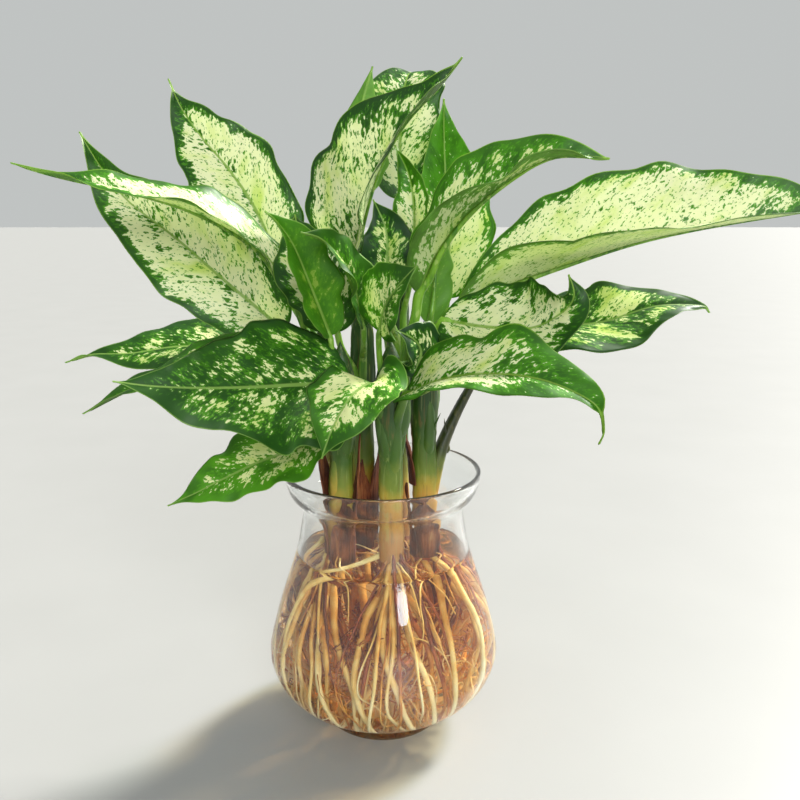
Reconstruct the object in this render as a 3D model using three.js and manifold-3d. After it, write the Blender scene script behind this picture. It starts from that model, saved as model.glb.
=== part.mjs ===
import * as THREE from "three";
import { mergeVertices } from "three/addons/utils/BufferGeometryUtils.js";
import Module from "manifold-3d";

// A dieffenbachia grown in water: six canes with their leaves stand in a glass vase, on bare roots.
// Millimetres, +Z up. The origin is the middle of the vase's foot, on the surface it stands on.
// The front of the plant, with its drooping leaves, looks towards -Y.

const wasm = await Module();
wasm.setup();

// ---- Driving dimensions ----

const CLEAR = 0.35; // between pieces that touch on the real plant
const VASE_SIDES = 24;
const GLASS = 2.2; // wall of the vase
const VASE_HEIGHT = 155;
const LIP_RADIUS = 56.8;
const FOOT_RADIUS = 35;
const FLOOR_GLASS = 8.5; // the thick bottom
const WATER_LEVEL = 105;

// The outside of the vase from its foot up to its lip: [radius, height].
const VASE_OUTSIDE = [
  [FOOT_RADIUS, 0],
  [FOOT_RADIUS + 1.2, 2.2],
  [FOOT_RADIUS + 1.6, 4.5],
  [38.5, 7],
  [47, 11],
  [56.5, 17],
  [64, 27],
  [67.8, 38],
  [68.3, 46],
  [66.2, 57],
  [60.4, 78],
  [51.5, 105],
  [47.6, 124],
  [46.6, 133],
  [49, 136.5],
  [53.4, 141.5],
  [56, 148],
  [LIP_RADIUS, VASE_HEIGHT - 1.2],
  [LIP_RADIUS - 0.8, VASE_HEIGHT],
];
// The inside of the vase from its lip down to the middle of its floor.
const VASE_INSIDE = [
  [LIP_RADIUS - GLASS, VASE_HEIGHT],
  [LIP_RADIUS - GLASS - 0.5, VASE_HEIGHT - 1.2],
  [53.8, 148.6],
  [51.4, 143.2],
  [47.4, 138.8],
  [44.4, 133.5],
  [45.4, 124],
  [49.2, 105],
  [58.2, 78],
  [64, 56.5],
  [66, 46],
  [65.5, 38.5],
  [61.9, 28.4],
  [54.4, 18.9],
  [44, 13],
  [30, 9.6],
  [0, FLOOR_GLASS],
];

const CANE_SIDES = 8;
const CANE_FOOT = 101; // height of a cane's lower end, just under the water
const CROWN_HEIGHT = 22; // of the brown root stock below a cane
const RING_SWELL = 1.09; // a cane is this much thicker at its ring scars
// foot and top are the middle of the cane's ends, thick is its radius at both.
const CANES = {
  front_left: { foot: [-25, -8], top: [-22, -14, 203], thick: [7.6, 5.4] },
  back_left: { foot: [-30, 15], top: [-35, 22, 214], thick: [6.2, 4.6] },
  middle: { foot: [-12, 15], top: [-12, 16, 226], thick: [7.4, 4.8] },
  front: { foot: [5, -14], top: [5, -22, 205], thick: [7.8, 6] },
  right: { foot: [25, 2], top: [23, -2, 213], thick: [7.8, 5.6] },
  back: { foot: [9, 27], top: [9, 32, 240], thick: [6.6, 4.6] },
};

const SHEATH_THICK = 0.9;
const SHEATH_ROWS = 4;
const SHEATH_COLUMNS = 4;
// The dry sheaths of leaves long gone, each round one side of a cane: the heights it goes from and to,
// the bearing of its middle, the angle it wraps at its foot, and how far its top leans off the cane.
const SHEATHS = {
  front_left: { from: 107, to: 176, bearing: 165, wrap: 120, lean: 5 },
  middle: { from: 107, to: 168, bearing: -25, wrap: 110, lean: 2.5 },
  right: { from: 146, to: 186, bearing: 180, wrap: 110, lean: 5 },
};

const ROOTS_EACH = 6;
const ROOT_SIDES = 4;
const ROOT_STEPS = 5;
const ROOT_THICK = [2.2, 1]; // radius at the crown and at the tip
const ROOT_SEED = 11;

const BLADE_ROWS = 9;
const STALK_ROWS = 4;
const BLADE_THICK = 0.8;
const RIB_THICK = [3.4, 1.1]; // depth of the midrib at the blade's base and tip
const TIP_HALF = 0.7;
const WAVES = 2.5; // waves along a margin

// How much of a leaf is cream: most of it, blotches on dark green, or none.
const TONES = { pale: "#c3d48c", dark: "#4d8440", green: "#82b53c" };

// One entry for each leaf. tone is one of TONES. cane and joins say where its stalk leaves the cane, and
// stalk is its radius. rib is the midrib from the blade's base to its tip. half is half the blade's
// width, at peak of its length, rise is how slender the base is, more being more slender, blunt is how
// full the tip is, less being fuller, and tail is the share of the length left to the drip tip.
// face is where the upper side looks at the base, and faceTip at the tip.
// left and right are how far each half is folded up from flat, in degrees, at even steps from the base to
// the tip. wave is the height of the waves along the margins.
const LEAVES = {
  leaf_left_long: {
    tone: "pale", cane: "back_left", joins: 210, stalk: 2.8, half: 23, peak: 0.4, tail: 0.06, wave: 3,
    rib: [[-52, 24, 251], [-70, 15, 280], [-99, -5, 300], [-132, -20, 311], [-161, -26, 317],
      [-186, -28, 324]],
    face: [0.1, -0.5, 1], faceTip: [0, -0.3, 1], left: [26, 26], right: [26, 26],
  },
  leaf_left_broad: {
    tone: "pale", cane: "back_left", joins: 201, stalk: 3, half: 30, peak: 0.38, wave: 3,
    rib: [[-59, 30, 231], [-90, 29, 258], [-120, 29, 285], [-146, 28, 306], [-160, 28, 324],
      [-173, 32, 345]],
    face: [-0.25, -1, 0.75], left: [18, 18], right: [42, 42],
  },
  leaf_inner_left: {
    tone: "pale", cane: "middle", joins: 203, stalk: 2.4, half: 21, peak: 0.45, wave: 3,
    rib: [[-25, -1, 234], [-32, -1, 257], [-41, 2, 273], [-46, 10, 286], [-50, 22, 299]],
    face: [-0.1, -1, 0.4], left: [12, 12], right: [12, 12],
  },
  leaf_upper_left: {
    tone: "pale", cane: "middle", joins: 196, stalk: 2.8, half: 28, peak: 0.45, blunt: 0.5, tail: 0.05,
    wave: 3.5,
    rib: [[-63, 46, 267], [-77, 54, 300], [-94, 62, 325], [-112, 71, 345], [-125, 76, 363],
      [-133, 78, 381]],
    face: [-0.1, -1, 0.45], left: [18, 18], right: [18, 18],
  },
  leaf_top_arched: {
    tone: "pale", cane: "middle", joins: 218, stalk: 2.8, half: 45, peak: 0.28, blunt: 0.65, tail: 0.03,
    wave: 3.5,
    rib: [[-18, 28, 271], [-10, 22, 301], [-1, 13, 325], [13, 6, 347], [30, 4, 364], [43, 6, 380]],
    face: [-0.5, -1, 0.3], left: [5, 5], right: [60, 68],
  },
  leaf_top_spike: {
    tone: "green", cane: "back", joins: 228, stalk: 2, half: 19, peak: 0.3, wave: 0,
    rib: [[-20, 40, 308], [-17, 44, 334], [-12, 50, 362], [-6, 56, 384]],
    face: [0.3, 1, 0.2], left: [30, 30], right: [30, 30],
  },
  leaf_top_rounded: {
    tone: "pale", cane: "back", joins: 226, stalk: 2.4, half: 25, peak: 0.6, wave: 2,
    rib: [[10, 54, 308], [10, 62, 343], [12, 70, 370], [15, 84, 384], [18, 105, 389]],
    face: [0, -1, 0.2], faceTip: [0, -0.3, 1], left: [14, 14], right: [14, 14],
  },
  leaf_back_upright: {
    tone: "pale", cane: "back", joins: 214, stalk: 2.6, half: 27, peak: 0.42, wave: 2,
    rib: [[38, 32, 250], [39, 40, 284], [37, 46, 318], [36, 51, 347], [36, 54, 366]],
    face: [-0.1, -1, 0.2], left: [58, 58], right: [14, 14],
  },
  leaf_inner_narrow: {
    tone: "pale", cane: "back", joins: 234, stalk: 1.8, half: 12, peak: 0.4, wave: 2,
    rib: [[17, 16, 272], [18, 18, 298], [15, 22, 320], [7, 26, 337]],
    face: [-0.3, -1, 0.2], left: [35, 35], right: [35, 35],
  },
  leaf_right_arched: {
    tone: "pale", cane: "front", joins: 198, stalk: 3.4, half: 27, peak: 0.45, rise: 0.8, wave: 3,
    rib: [[20, -27, 258], [27, -35, 277], [40, -44, 296], [58, -55, 312], [80, -64, 324], [106, -66, 323]],
    face: [-0.6, -0.6, 1], faceTip: [0, -0.8, 1], left: [30, 30], right: [92, 62, 50, 44],
  },
  leaf_right_long: {
    tone: "pale", cane: "right", joins: 203, stalk: 3.2, half: 45, peak: 0.42, rise: 1.3, blunt: 0.3,
    wave: 3.5,
    rib: [[38, 7, 245], [66, 6, 258], [98, 5, 270], [141, 2, 284], [184, 0, 293], [244, 2, 302]],
    face: [-0.3, -0.9, 0.55], left: [15, 15], right: [140, 82, 70, 64],
  },
  leaf_right_low: {
    tone: "dark", cane: "right", joins: 150, stalk: 3, half: 29, peak: 0.42, wave: 2,
    rib: [[66, 12, 228], [90, 5, 236], [122, 0, 240], [152, 0, 249], [178, 2, 249], [184, 2, 245]],
    face: [0.1, -0.6, 1], left: [14, 14], right: [14, 14],
  },
  leaf_right_curled: {
    tone: "pale", cane: "right", joins: 182, stalk: 2.6, half: 28, peak: 0.5, wave: 2,
    rib: [[33, -16, 243], [55, -29, 241], [76, -41, 242], [89, -50, 250], [95, -54, 259], [92, -54, 270]],
    face: [0.1, -0.9, 0.7], left: [20, 20], right: [20, 20],
  },
  leaf_front_right: {
    tone: "pale", cane: "front", joins: 178, stalk: 3, half: 25, peak: 0.36, tail: 0.12, blunt: 0.32, wave: 3,
    rib: [[13, -36, 206], [30, -56, 218], [52, -76, 225], [75, -92, 225], [95, -102, 217], [100, -104, 206],
      [98, -104, 198]],
    face: [-0.2, -0.6, 1], left: [28, 28], right: [28, 28],
  },
  leaf_front_drooping: {
    tone: "dark", cane: "front", joins: 184, stalk: 2.8, half: 21, peak: 0.55, wave: 2.5,
    rib: [[-3, -34, 208], [-4, -56, 217], [-13, -74, 214], [-21, -84, 202], [-27, -86, 186]],
    face: [-0.3, -1, 0.7], left: [15, 15], right: [15, 15],
  },
  leaf_front_left_broad: {
    tone: "dark", cane: "front_left", joins: 184, stalk: 3, half: 38, peak: 0.27, wave: 3,
    rib: [[-16, -24, 210], [-42, -38, 212], [-65, -54, 214], [-88, -70, 217], [-107, -80, 220],
      [-123, -84, 223]],
    face: [0.05, -1, 0.75], left: [8, 8], right: [8, 8],
  },
  leaf_inner_right: {
    tone: "dark", cane: "front", joins: 184, stalk: 1.8, half: 14, peak: 0.5, wave: 1,
    rib: [[18, -27, 214], [21, -32, 228], [17, -38, 236], [8, -42, 241]],
    face: [0.5, -1, 0.5], left: [20, 20], right: [20, 20],
  },
  leaf_left_thin: {
    tone: "dark", cane: "front_left", joins: 190, stalk: 2.2, half: 16, peak: 0.4, wave: 1.5,
    rib: [[-52, -2, 236], [-80, -14, 228], [-110, -22, 217], [-138, -26, 206], [-161, -28, 194]],
    face: [0, -0.2, 1], left: [20, 20], right: [20, 20],
  },
  leaf_left_low: {
    tone: "dark", cane: "back_left", joins: 166, stalk: 2.4, half: 26, peak: 0.42, tail: 0.07, wave: 2,
    rib: [[-52, 44, 211], [-85, 29, 221], [-118, 16, 224], [-145, 10, 221], [-168, 10, 220],
      [-185, 12, 215]],
    face: [0, -0.6, 1], left: [12, 12], right: [12, 12],
  },
  leaf_lowest_left: {
    tone: "dark", cane: "front_left", joins: 158, stalk: 2.6, half: 22, peak: 0.4, wave: 2.5,
    rib: [[-30, -20, 182], [-45, -27, 175], [-64, -40, 171], [-83, -50, 164], [-98, -54, 157],
      [-110, -56, 152]],
    face: [-0.1, -0.75, 1], left: [12, 12], right: [12, 12],
  },
  leaf_furled_green: {
    tone: "green", cane: "front_left", joins: 198, stalk: 2, half: 17, peak: 0.5, wave: 2,
    rib: [[-28, -15, 234], [-37, -24, 262], [-44, -33, 283], [-51, -41, 295], [-56, -45, 300]],
    face: [0.5, -0.9, 0.4], left: [45, 45], right: [45, 45],
  },
  leaf_furled_dark: {
    tone: "dark", cane: "middle", joins: 214, stalk: 2, half: 14, peak: 0.5, wave: 2,
    rib: [[-10, -10, 238], [-14, -19, 260], [-19, -30, 275], [-28, -42, 286], [-38, -51, 290]],
    face: [0.6, -0.7, 0.7], left: [30, 30], right: [30, 30],
  },
  leaf_inner_upright: {
    tone: "dark", cane: "back", joins: 222, stalk: 2.6, half: 15, peak: 0.5, wave: 1,
    rib: [[3, 6, 252], [3, 8, 273], [2, 10, 291], [-5, 14, 307]],
    face: [0.1, -1, 0.3], left: [20, 20], right: [20, 20],
  },
  leaf_inner_curled: {
    tone: "dark", cane: "front", joins: 190, stalk: 2, half: 20.5, peak: 0.45, wave: 1,
    rib: [[-1, -27, 238], [2, -37, 252], [9, -47, 264], [18, -55, 274]],
    face: [-0.3, -1, 0.8], left: [20, 20], right: [20, 20],
  },
  leaf_young_sheath: {
    tone: "green", cane: "back", joins: 204, stalk: 2.8, half: 11, peak: 0.45, wave: 0,
    rib: [[27, 11, 238], [29, 13, 252], [31, 15, 273], [35, 16, 293]],
    face: [0, 1, 0.1], left: [20, 20], right: [20, 20],
  },
};

// ---- Helpers ----

const radians = THREE.MathUtils.degToRad;
const lerp = THREE.MathUtils.lerp;
const vector = (p) => new THREE.Vector3(...p);
const UP = new THREE.Vector3(0, 0, 1);

// A closed geometry as a solid.
function solidOf(geometry) {
  const bare = geometry.clone();
  bare.deleteAttribute("normal");
  bare.deleteAttribute("uv");
  const merged = mergeVertices(bare, 1e-4);
  return new wasm.Manifold(
    new wasm.Mesh({
      numProp: 3,
      vertProperties: merged.attributes.position.array,
      triVerts: new Uint32Array(merged.index.array),
    }),
  );
}

function geometryOf(solid) {
  const mesh = solid.getMesh();
  const geometry = new THREE.BufferGeometry();
  geometry.setAttribute("position", new THREE.BufferAttribute(new Float32Array(mesh.vertProperties), 3));
  geometry.setIndex(new THREE.BufferAttribute(new Uint32Array(mesh.triVerts), 1));
  geometry.computeVertexNormals();
  return geometry;
}

// The largest body of a solid: loose scraps of a cut are dropped.
function largest(solid) {
  return solid.decompose().reduce((a, b) => (b.volume() > a.volume() ? b : a));
}

// A closed skin over rings of equally many points. Quads from ring point `turn` on are split the other
// way, so that both faces of a blade get the same triangles.
function loft(rings, turn = Infinity) {
  const count = rings[0].length;
  const index = [];
  const at = (ring, point) => ring * count + (point % count);
  for (let i = 0; i + 1 < rings.length; i++)
    for (let j = 0; j < count; j++) {
      const [a, b, c, d] = [at(i, j), at(i, j + 1), at(i + 1, j + 1), at(i + 1, j)];
      if (j < turn) index.push(a, b, c, a, c, d);
      else index.push(a, b, d, b, c, d);
    }
  const last = rings.length - 1;
  for (let j = 1; j + 1 < count; j++) {
    index.push(at(0, 0), at(0, j + 1), at(0, j));
    index.push(at(last, 0), at(last, j), at(last, j + 1));
  }
  const geometry = new THREE.BufferGeometry();
  geometry.setAttribute(
    "position",
    new THREE.Float32BufferAttribute(rings.flat().flatMap((p) => p.toArray()), 3),
  );
  geometry.setIndex(index);
  return geometry;
}

// A row of numbers between 0 and 1, the same each time.
function draws(seed) {
  let state = seed;
  return () => {
    state = (state * 16807) % 2147483647;
    return state / 2147483647;
  };
}

const group = new THREE.Group();
function add(name, solid, color, roughness) {
  const material = new THREE.MeshStandardMaterial({ color, roughness, metalness: 0 });
  const mesh = new THREE.Mesh(geometryOf(solid), material);
  mesh.name = name;
  group.add(mesh);
  return mesh;
}

// ---- Vase ----

function turned(profile) {
  return solidOf(new THREE.LatheGeometry(profile.map((p) => new THREE.Vector2(...p)), VASE_SIDES)).rotate([
    90, 0, 0,
  ]);
}

add("vase", turned([[0, 0], ...VASE_OUTSIDE, ...VASE_INSIDE]), "#dfe8e6", 0.05);

// The radius of the vase's inside at a height.
function insideRadius(z) {
  const i = VASE_INSIDE.findIndex((p) => p[1] <= z);
  const [[r0, z0], [r1, z1]] = [VASE_INSIDE[i - 1], VASE_INSIDE[i]];
  return lerp(r0, r1, (z - z0) / (z1 - z0));
}

// ---- Canes ----

// The middle of a cane at a height. It bows a little from its foot to its top.
function caneAxis(cane, z) {
  const [x, y, top] = cane.top;
  const u = (z - CANE_FOOT) / (top - CANE_FOOT);
  const ease = u * u * (3 - 2 * u);
  return new THREE.Vector3(lerp(cane.foot[0], x, ease), lerp(cane.foot[1], y, ease), z);
}

function roundRing(centre, radius, sides) {
  return Array.from({ length: sides }, (_, k) => {
    const a = (2 * Math.PI * (k + 0.5)) / sides;
    return new THREE.Vector3(centre.x + radius * Math.cos(a), centre.y + radius * Math.sin(a), centre.z);
  });
}

// A cane, or with grow the room that it needs.
function caneSolid(cane, grow = 0) {
  const top = cane.top[2];
  const steps = 6;
  const rings = [];
  for (let k = 0; k <= steps; k++) {
    const u = k / steps;
    const swell = k % 2 ? RING_SWELL : 1;
    const z = k === 0 ? CANE_FOOT - grow : lerp(CANE_FOOT, top, u);
    rings.push(roundRing(caneAxis(cane, z), lerp(...cane.thick, u) * swell + grow, CANE_SIDES));
  }
  const [r] = cane.thick.slice(1);
  rings.push(roundRing(caneAxis(cane, top + r * 0.5 + grow), r * 0.5 + grow, CANE_SIDES));
  return solidOf(loft(rings));
}

const caneRoom = Object.values(CANES).map((cane) => caneSolid(cane, CLEAR));
for (const [name, cane] of Object.entries(CANES)) add("cane_" + name, caneSolid(cane), "#6f8a3a", 0.5);

// ---- Dry sheaths ----

// Half a shell round a cane. It wraps less of the cane the higher it goes, and ends in a narrow tip.
function sheathSolid(cane, sheath) {
  const swollen = cane.thick[0] * RING_SWELL + 2 * CLEAR;
  const rings = [];
  for (let i = 0; i <= SHEATH_ROWS; i++) {
    const u = i / SHEATH_ROWS;
    const z = lerp(sheath.from, sheath.to, u);
    const middle = caneAxis(cane, z);
    const near = swollen + sheath.lean * u * u;
    const wrap = sheath.wrap * Math.max(0.12, Math.cos((Math.PI / 2) * u) ** 0.7);
    const arc = (radius, turn) =>
      Array.from({ length: SHEATH_COLUMNS + 1 }, (_, j) => {
        const a = radians(sheath.bearing + turn * wrap * (j / SHEATH_COLUMNS - 0.5));
        return new THREE.Vector3(middle.x + radius * Math.cos(a), middle.y + radius * Math.sin(a), z);
      });
    rings.push([...arc(near + SHEATH_THICK, 1), ...arc(near, -1)]);
  }
  return solidOf(loft(rings));
}

for (const [name, sheath] of Object.entries(SHEATHS))
  add("sheath_" + name, sheathSolid(CANES[name], sheath), "#9a6a3c", 0.8);

// ---- Leaves ----

// Half the width of a blade, as a share of its widest, at t of its length.
// A drip tip, the tail's share of the length, is left to the smallest width.
function outline(share, { peak, rise = 0.45, blunt = 0.68, tail = 0 }) {
  const t = Math.min(share / (1 - tail), 1);
  if (t < peak) return (1 - ((peak - t) / peak) ** 2.2) ** rise;
  return (0.5 + 0.5 * Math.cos((Math.PI * (t - peak)) / (1 - peak))) ** blunt;
}

// Ten points round a stalk, in the order of a blade's section: five over its upper side, five under.
function stalkRing(at, side, up, radius) {
  return Array.from({ length: 10 }, (_, k) => {
    const a = radians(162 - 36 * k);
    return at.clone().addScaledVector(side, radius * Math.cos(a)).addScaledVector(up, radius * Math.sin(a));
  });
}

// The value at t of a row of values spread evenly from 0 to 1.
function stepped(values, t) {
  const at = t * (values.length - 1);
  const k = Math.min(Math.floor(at), values.length - 2);
  return lerp(values[k], values[k + 1], at - k);
}

function leafSolid(leaf) {
  const rib = new THREE.CatmullRomCurve3(leaf.rib.map(vector), false, "catmullrom", 0.5);
  const from = caneAxis(CANES[leaf.cane], leaf.joins);
  const base = rib.getPointAt(0);
  const reach = base.distanceTo(from);
  const stalk = new THREE.CubicBezierCurve3(
    from,
    from.clone().lerp(new THREE.Vector3(base.x, base.y, from.z), 0.25).addScaledVector(UP, reach * 0.3),
    base.clone().addScaledVector(rib.getTangentAt(0).lerp(UP, 0.6).normalize(), -reach * 0.4),
    base,
  );
  const face = vector(leaf.face);
  const faceTip = vector(leaf.faceTip ?? leaf.face);
  const frameOf = (curve, u, t) => {
    const along = curve.getTangentAt(u);
    const up = face.clone().normalize().lerp(faceTip.clone().normalize(), t);
    up.addScaledVector(along, -up.dot(along)).normalize();
    return { at: curve.getPointAt(u), up, side: along.clone().cross(up) };
  };

  const rings = [];
  for (let k = 0; k < STALK_ROWS; k++) {
    const u = k / STALK_ROWS;
    const { at, up, side } = frameOf(stalk, u, 0);
    rings.push(stalkRing(at, side, up, leaf.stalk * lerp(1.15, 0.8, u)));
  }
  const { at, up, side } = frameOf(rib, 0, 0);
  rings.push(stalkRing(at, side, up, leaf.stalk * 0.8));
  for (let k = 1; k <= BLADE_ROWS; k++) {
    const t = k / BLADE_ROWS;
    rings.push(bladeRing(leaf, t, frameOf(rib, t, t)));
  }
  return solidOf(loft(rings, 5));
}

// The section of a blade: its upper side from the left margin to the right one, then its underside.
function bladeRing(leaf, t, { at, up, side }) {
  const half = Math.max(TIP_HALF, leaf.half * outline(t, leaf));
  const upper = [];
  const under = [];
  for (const v of [-1, -0.5, 0, 0.5, 1]) {
    const out = Math.sign(v);
    const fold = stepped(out < 0 ? leaf.left : leaf.right, t);
    const angle = radians(fold + (leaf.cup ?? -15) * Math.abs(v) * 0.5);
    const phase = 2 * Math.PI * WAVES * t + (out > 0 ? 1.9 : 0);
    const wave = leaf.wave * Math.sin(phase) * v * v * Math.sqrt(Math.sin(Math.PI * t));
    const reach = Math.abs(v) * half;
    const p = at.clone().addScaledVector(side, out * reach * Math.cos(angle));
    p.addScaledVector(up, reach * Math.sin(angle) + wave);
    const normal = up.clone();
    if (v) normal.multiplyScalar(Math.cos(angle)).addScaledVector(side, -out * Math.sin(angle));
    const thick = v ? BLADE_THICK : lerp(...RIB_THICK, t);
    upper.push(p);
    under.unshift(p.clone().addScaledVector(normal, -thick));
  }
  return [...upper, ...under];
}

for (const [name, leaf] of Object.entries(LEAVES)) {
  const free = caneRoom.reduce((solid, room) => solid.subtract(room), leafSolid(leaf));
  add(name, largest(free), TONES[leaf.tone], 0.4);
}

// ---- Crowns and roots ----

// A tube along a curve, tapered, with its ends closed.
function tube(points, thick, grow = 0) {
  const curve = new THREE.CatmullRomCurve3(points);
  const frames = curve.computeFrenetFrames(ROOT_STEPS);
  const rings = [];
  for (let k = 0; k <= ROOT_STEPS; k++) {
    const u = k / ROOT_STEPS;
    const at = curve.getPointAt(u);
    if (k === ROOT_STEPS) at.addScaledVector(frames.tangents[k], grow);
    const radius = lerp(...thick, u) + grow / Math.cos(Math.PI / ROOT_SIDES);
    rings.push(
      Array.from({ length: ROOT_SIDES }, (_, j) => {
        const a = (2 * Math.PI * j) / ROOT_SIDES;
        return at
          .clone()
          .addScaledVector(frames.normals[k], radius * Math.cos(a))
          .addScaledVector(frames.binormals[k], radius * Math.sin(a));
      }),
    );
  }
  return solidOf(loft(rings));
}

// Each crown's roots keep to its own sector round the middle of the vase, from halfway to one neighbour
// to halfway to the other.
const bearings = Object.entries(CANES)
  .map(([name, cane]) => ({ name, bearing: Math.atan2(cane.foot[1], cane.foot[0]) }))
  .sort((a, b) => a.bearing - b.bearing);

function sectorOf(name) {
  const i = bearings.findIndex((b) => b.name === name);
  const count = bearings.length;
  const before = bearings[(i + count - 1) % count].bearing - (i === 0 ? 2 * Math.PI : 0);
  const after = bearings[(i + 1) % count].bearing + (i === count - 1 ? 2 * Math.PI : 0);
  const here = bearings[i].bearing;
  return { low: (before + here) / 2, here, high: (here + after) / 2 };
}

// The routes of one crown's roots: out of the crown, down along the glass and over the floor.
function rootRoutes(name, cane, random) {
  const { low, here, high } = sectorOf(name);
  const crownReach = Math.hypot(...cane.foot);
  const routes = [];
  for (let k = 0; k < ROOTS_EACH; k++) {
    const spread = (k + 0.5) / ROOTS_EACH;
    const point = (reach, bearing, z) => {
      const room = insideRadius(z) - 4.5;
      const r = Math.min(reach, room);
      // A root stays clear of the planes between the sectors.
      const keep = Math.min(0.45, 5 / Math.max(r, 12));
      const a = Math.min(Math.max(bearing, low + keep), high - keep);
      return new THREE.Vector3(r * Math.cos(a), r * Math.sin(a), z);
    };
    const bearing = lerp(low, high, spread);
    const start = CANE_FOOT - 5 - 14 * random();
    const outer = lerp(24, 60, random());
    routes.push([
      point(crownReach, here, start),
      point(lerp(crownReach, outer, 0.4), lerp(here, bearing, 0.5), start - 9),
      point(outer, bearing, 50 + 10 * random()),
      point(outer - 4 - 8 * random(), bearing + 0.2 * (random() - 0.5), 27 + 6 * random()),
      point(outer * 0.6, bearing + 0.5 * (random() - 0.5), 15 + 3 * random()),
    ]);
  }
  return routes;
}

function rootSolid(cane, routes, grow = 0) {
  const [x, y] = cane.foot;
  const top = CANE_FOOT - CLEAR;
  const low = top - CROWN_HEIGHT - grow;
  const [r] = cane.thick;
  const crown = solidOf(
    loft([
      roundRing(new THREE.Vector3(x, y, low), r * 0.45 + grow, CANE_SIDES),
      roundRing(new THREE.Vector3(x, y, lerp(low, top, 0.35)), r * 0.9 + grow, CANE_SIDES),
      roundRing(new THREE.Vector3(x, y, top + grow), r * 0.95 + grow, CANE_SIDES),
    ]),
  );
  return routes.reduce((solid, route) => solid.add(tube(route, ROOT_THICK, grow)), crown);
}

const random = draws(ROOT_SEED);
const wet = [...caneRoom];
for (const [name, cane] of Object.entries(CANES)) {
  const routes = rootRoutes(name, cane, random);
  add("roots_" + name, largest(rootSolid(cane, routes)), "#d9b98a", 0.6);
  wet.push(rootSolid(cane, routes, CLEAR));
}

// ---- Water ----

// It fills the vase up to its level, with holes where the canes, crowns and roots stand in it.
const below = VASE_INSIDE.filter((p) => p[1] < WATER_LEVEL).map(([r, z]) => [
  Math.max(0, r - CLEAR),
  z + CLEAR,
]);
const surface = [[0, WATER_LEVEL], [insideRadius(WATER_LEVEL) - CLEAR, WATER_LEVEL]];
const pool = turned([...surface, ...below].reverse());
add("water", largest(wet.reduce((solid, room) => solid.subtract(room), pool)), "#c98f4a", 0.1);

export default group;
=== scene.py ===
# %% [markdown]
# # A dieffenbachia growing in a vase of water
# Six canes of a variegated dieffenbachia stand in a bulb-shaped glass vase. They grow on bare roots in
# water, with no soil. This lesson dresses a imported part: each plain solid gets a finer piece of the same
# form, with a surface of its own. Lengths are in millimetres until a piece is finished, and +Z is up.

import math
import random

import bmesh
import bpy
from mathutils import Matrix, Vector, noise


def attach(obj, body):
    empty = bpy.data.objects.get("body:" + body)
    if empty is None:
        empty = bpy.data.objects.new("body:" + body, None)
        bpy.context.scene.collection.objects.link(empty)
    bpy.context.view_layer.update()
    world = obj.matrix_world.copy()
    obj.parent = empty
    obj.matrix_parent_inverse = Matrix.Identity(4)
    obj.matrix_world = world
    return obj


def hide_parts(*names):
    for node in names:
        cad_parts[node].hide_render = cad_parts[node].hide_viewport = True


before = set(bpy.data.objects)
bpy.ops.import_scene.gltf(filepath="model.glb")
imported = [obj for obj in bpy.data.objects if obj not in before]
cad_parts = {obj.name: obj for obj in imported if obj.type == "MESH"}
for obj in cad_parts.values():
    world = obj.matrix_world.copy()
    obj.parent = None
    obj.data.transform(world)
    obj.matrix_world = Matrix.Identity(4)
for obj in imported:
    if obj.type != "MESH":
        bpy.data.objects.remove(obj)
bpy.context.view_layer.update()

# %% [markdown]
# ## Grids that are moved into place
# A leaf blade, a cane and a root are all one thing to a modeller: a flat grid that is bent into shape.
# A blade stays open. A cane or a root is rolled up until two edges of the grid meet. One operator makes
# the grid, its coordinates are kept as UV maps while it is still flat, and each vertex is moved once.

# %% Make a grid and bend it
MM = 0.001
WELD = 0.002


def lerp(a, b, u):
    return a + (b - a) * u


def ease(low, high, x):
    """0 below low, 1 above high, and smooth between them."""
    u = min(max((x - low) / (high - low), 0.0), 1.0)
    return u * u * (3 - 2 * u)


def bent_grid(columns, rows, place, maps=None, rolled=False, part=None):
    """A grid moved by place(u, v). maps gives a function of u and v for each UV map, and part one for
    the number of each face's material."""
    bm = bmesh.new()
    maps = {"surface": lambda u, v: (u, v), **(maps or {})}
    for name in maps:
        bm.loops.layers.uv.new(name)
    bmesh.ops.create_grid(bm, x_segments=columns, y_segments=rows, size=1)
    spots = {v: ((v.co.x + 1) / 2, (v.co.y + 1) / 2) for v in bm.verts}
    for name, uv_of in maps.items():
        layer = bm.loops.layers.uv[name]
        worked = {v: uv_of(*spot) for v, spot in spots.items()}
        for face in bm.faces:
            for loop in face.loops:
                loop[layer].uv = worked[loop.vert]
    if part:
        for face in bm.faces:
            middle = face.calc_center_median()
            face.material_index = part((middle.x + 1) / 2, (middle.y + 1) / 2)
    for vert, spot in spots.items():
        vert.co = place(*spot)
    if rolled:
        bmesh.ops.remove_doubles(bm, verts=bm.verts, dist=WELD)
        bmesh.ops.recalc_face_normals(bm, faces=bm.faces)
    return bm


def joined(parts, material=0):
    """Several bmeshes as one. Faces that have no material yet get this one."""
    whole = bmesh.new()
    for part in parts:
        for face in part.faces:
            face.material_index = face.material_index or material
        scrap = bpy.data.meshes.new("scrap")
        part.to_mesh(scrap)
        part.free()
        whole.from_mesh(scrap)
        bpy.data.meshes.remove(scrap)
    return whole


# %% Finish a piece
def finish_piece(node, bm, materials):
    """Turns a bmesh in millimetres into a piece on the root body that stands for this node."""
    name = node + "_fine"
    bmesh.ops.scale(bm, vec=(MM, MM, MM), verts=bm.verts)
    mesh = bpy.data.meshes.new(name)
    bm.to_mesh(mesh)
    bm.free()
    mesh.shade_smooth()
    for material in materials:
        mesh.materials.append(material)
    piece = bpy.data.objects.new(name, mesh)
    bpy.context.scene.collection.objects.link(piece)
    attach(piece, "root")
    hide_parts(node)
    return piece


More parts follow.
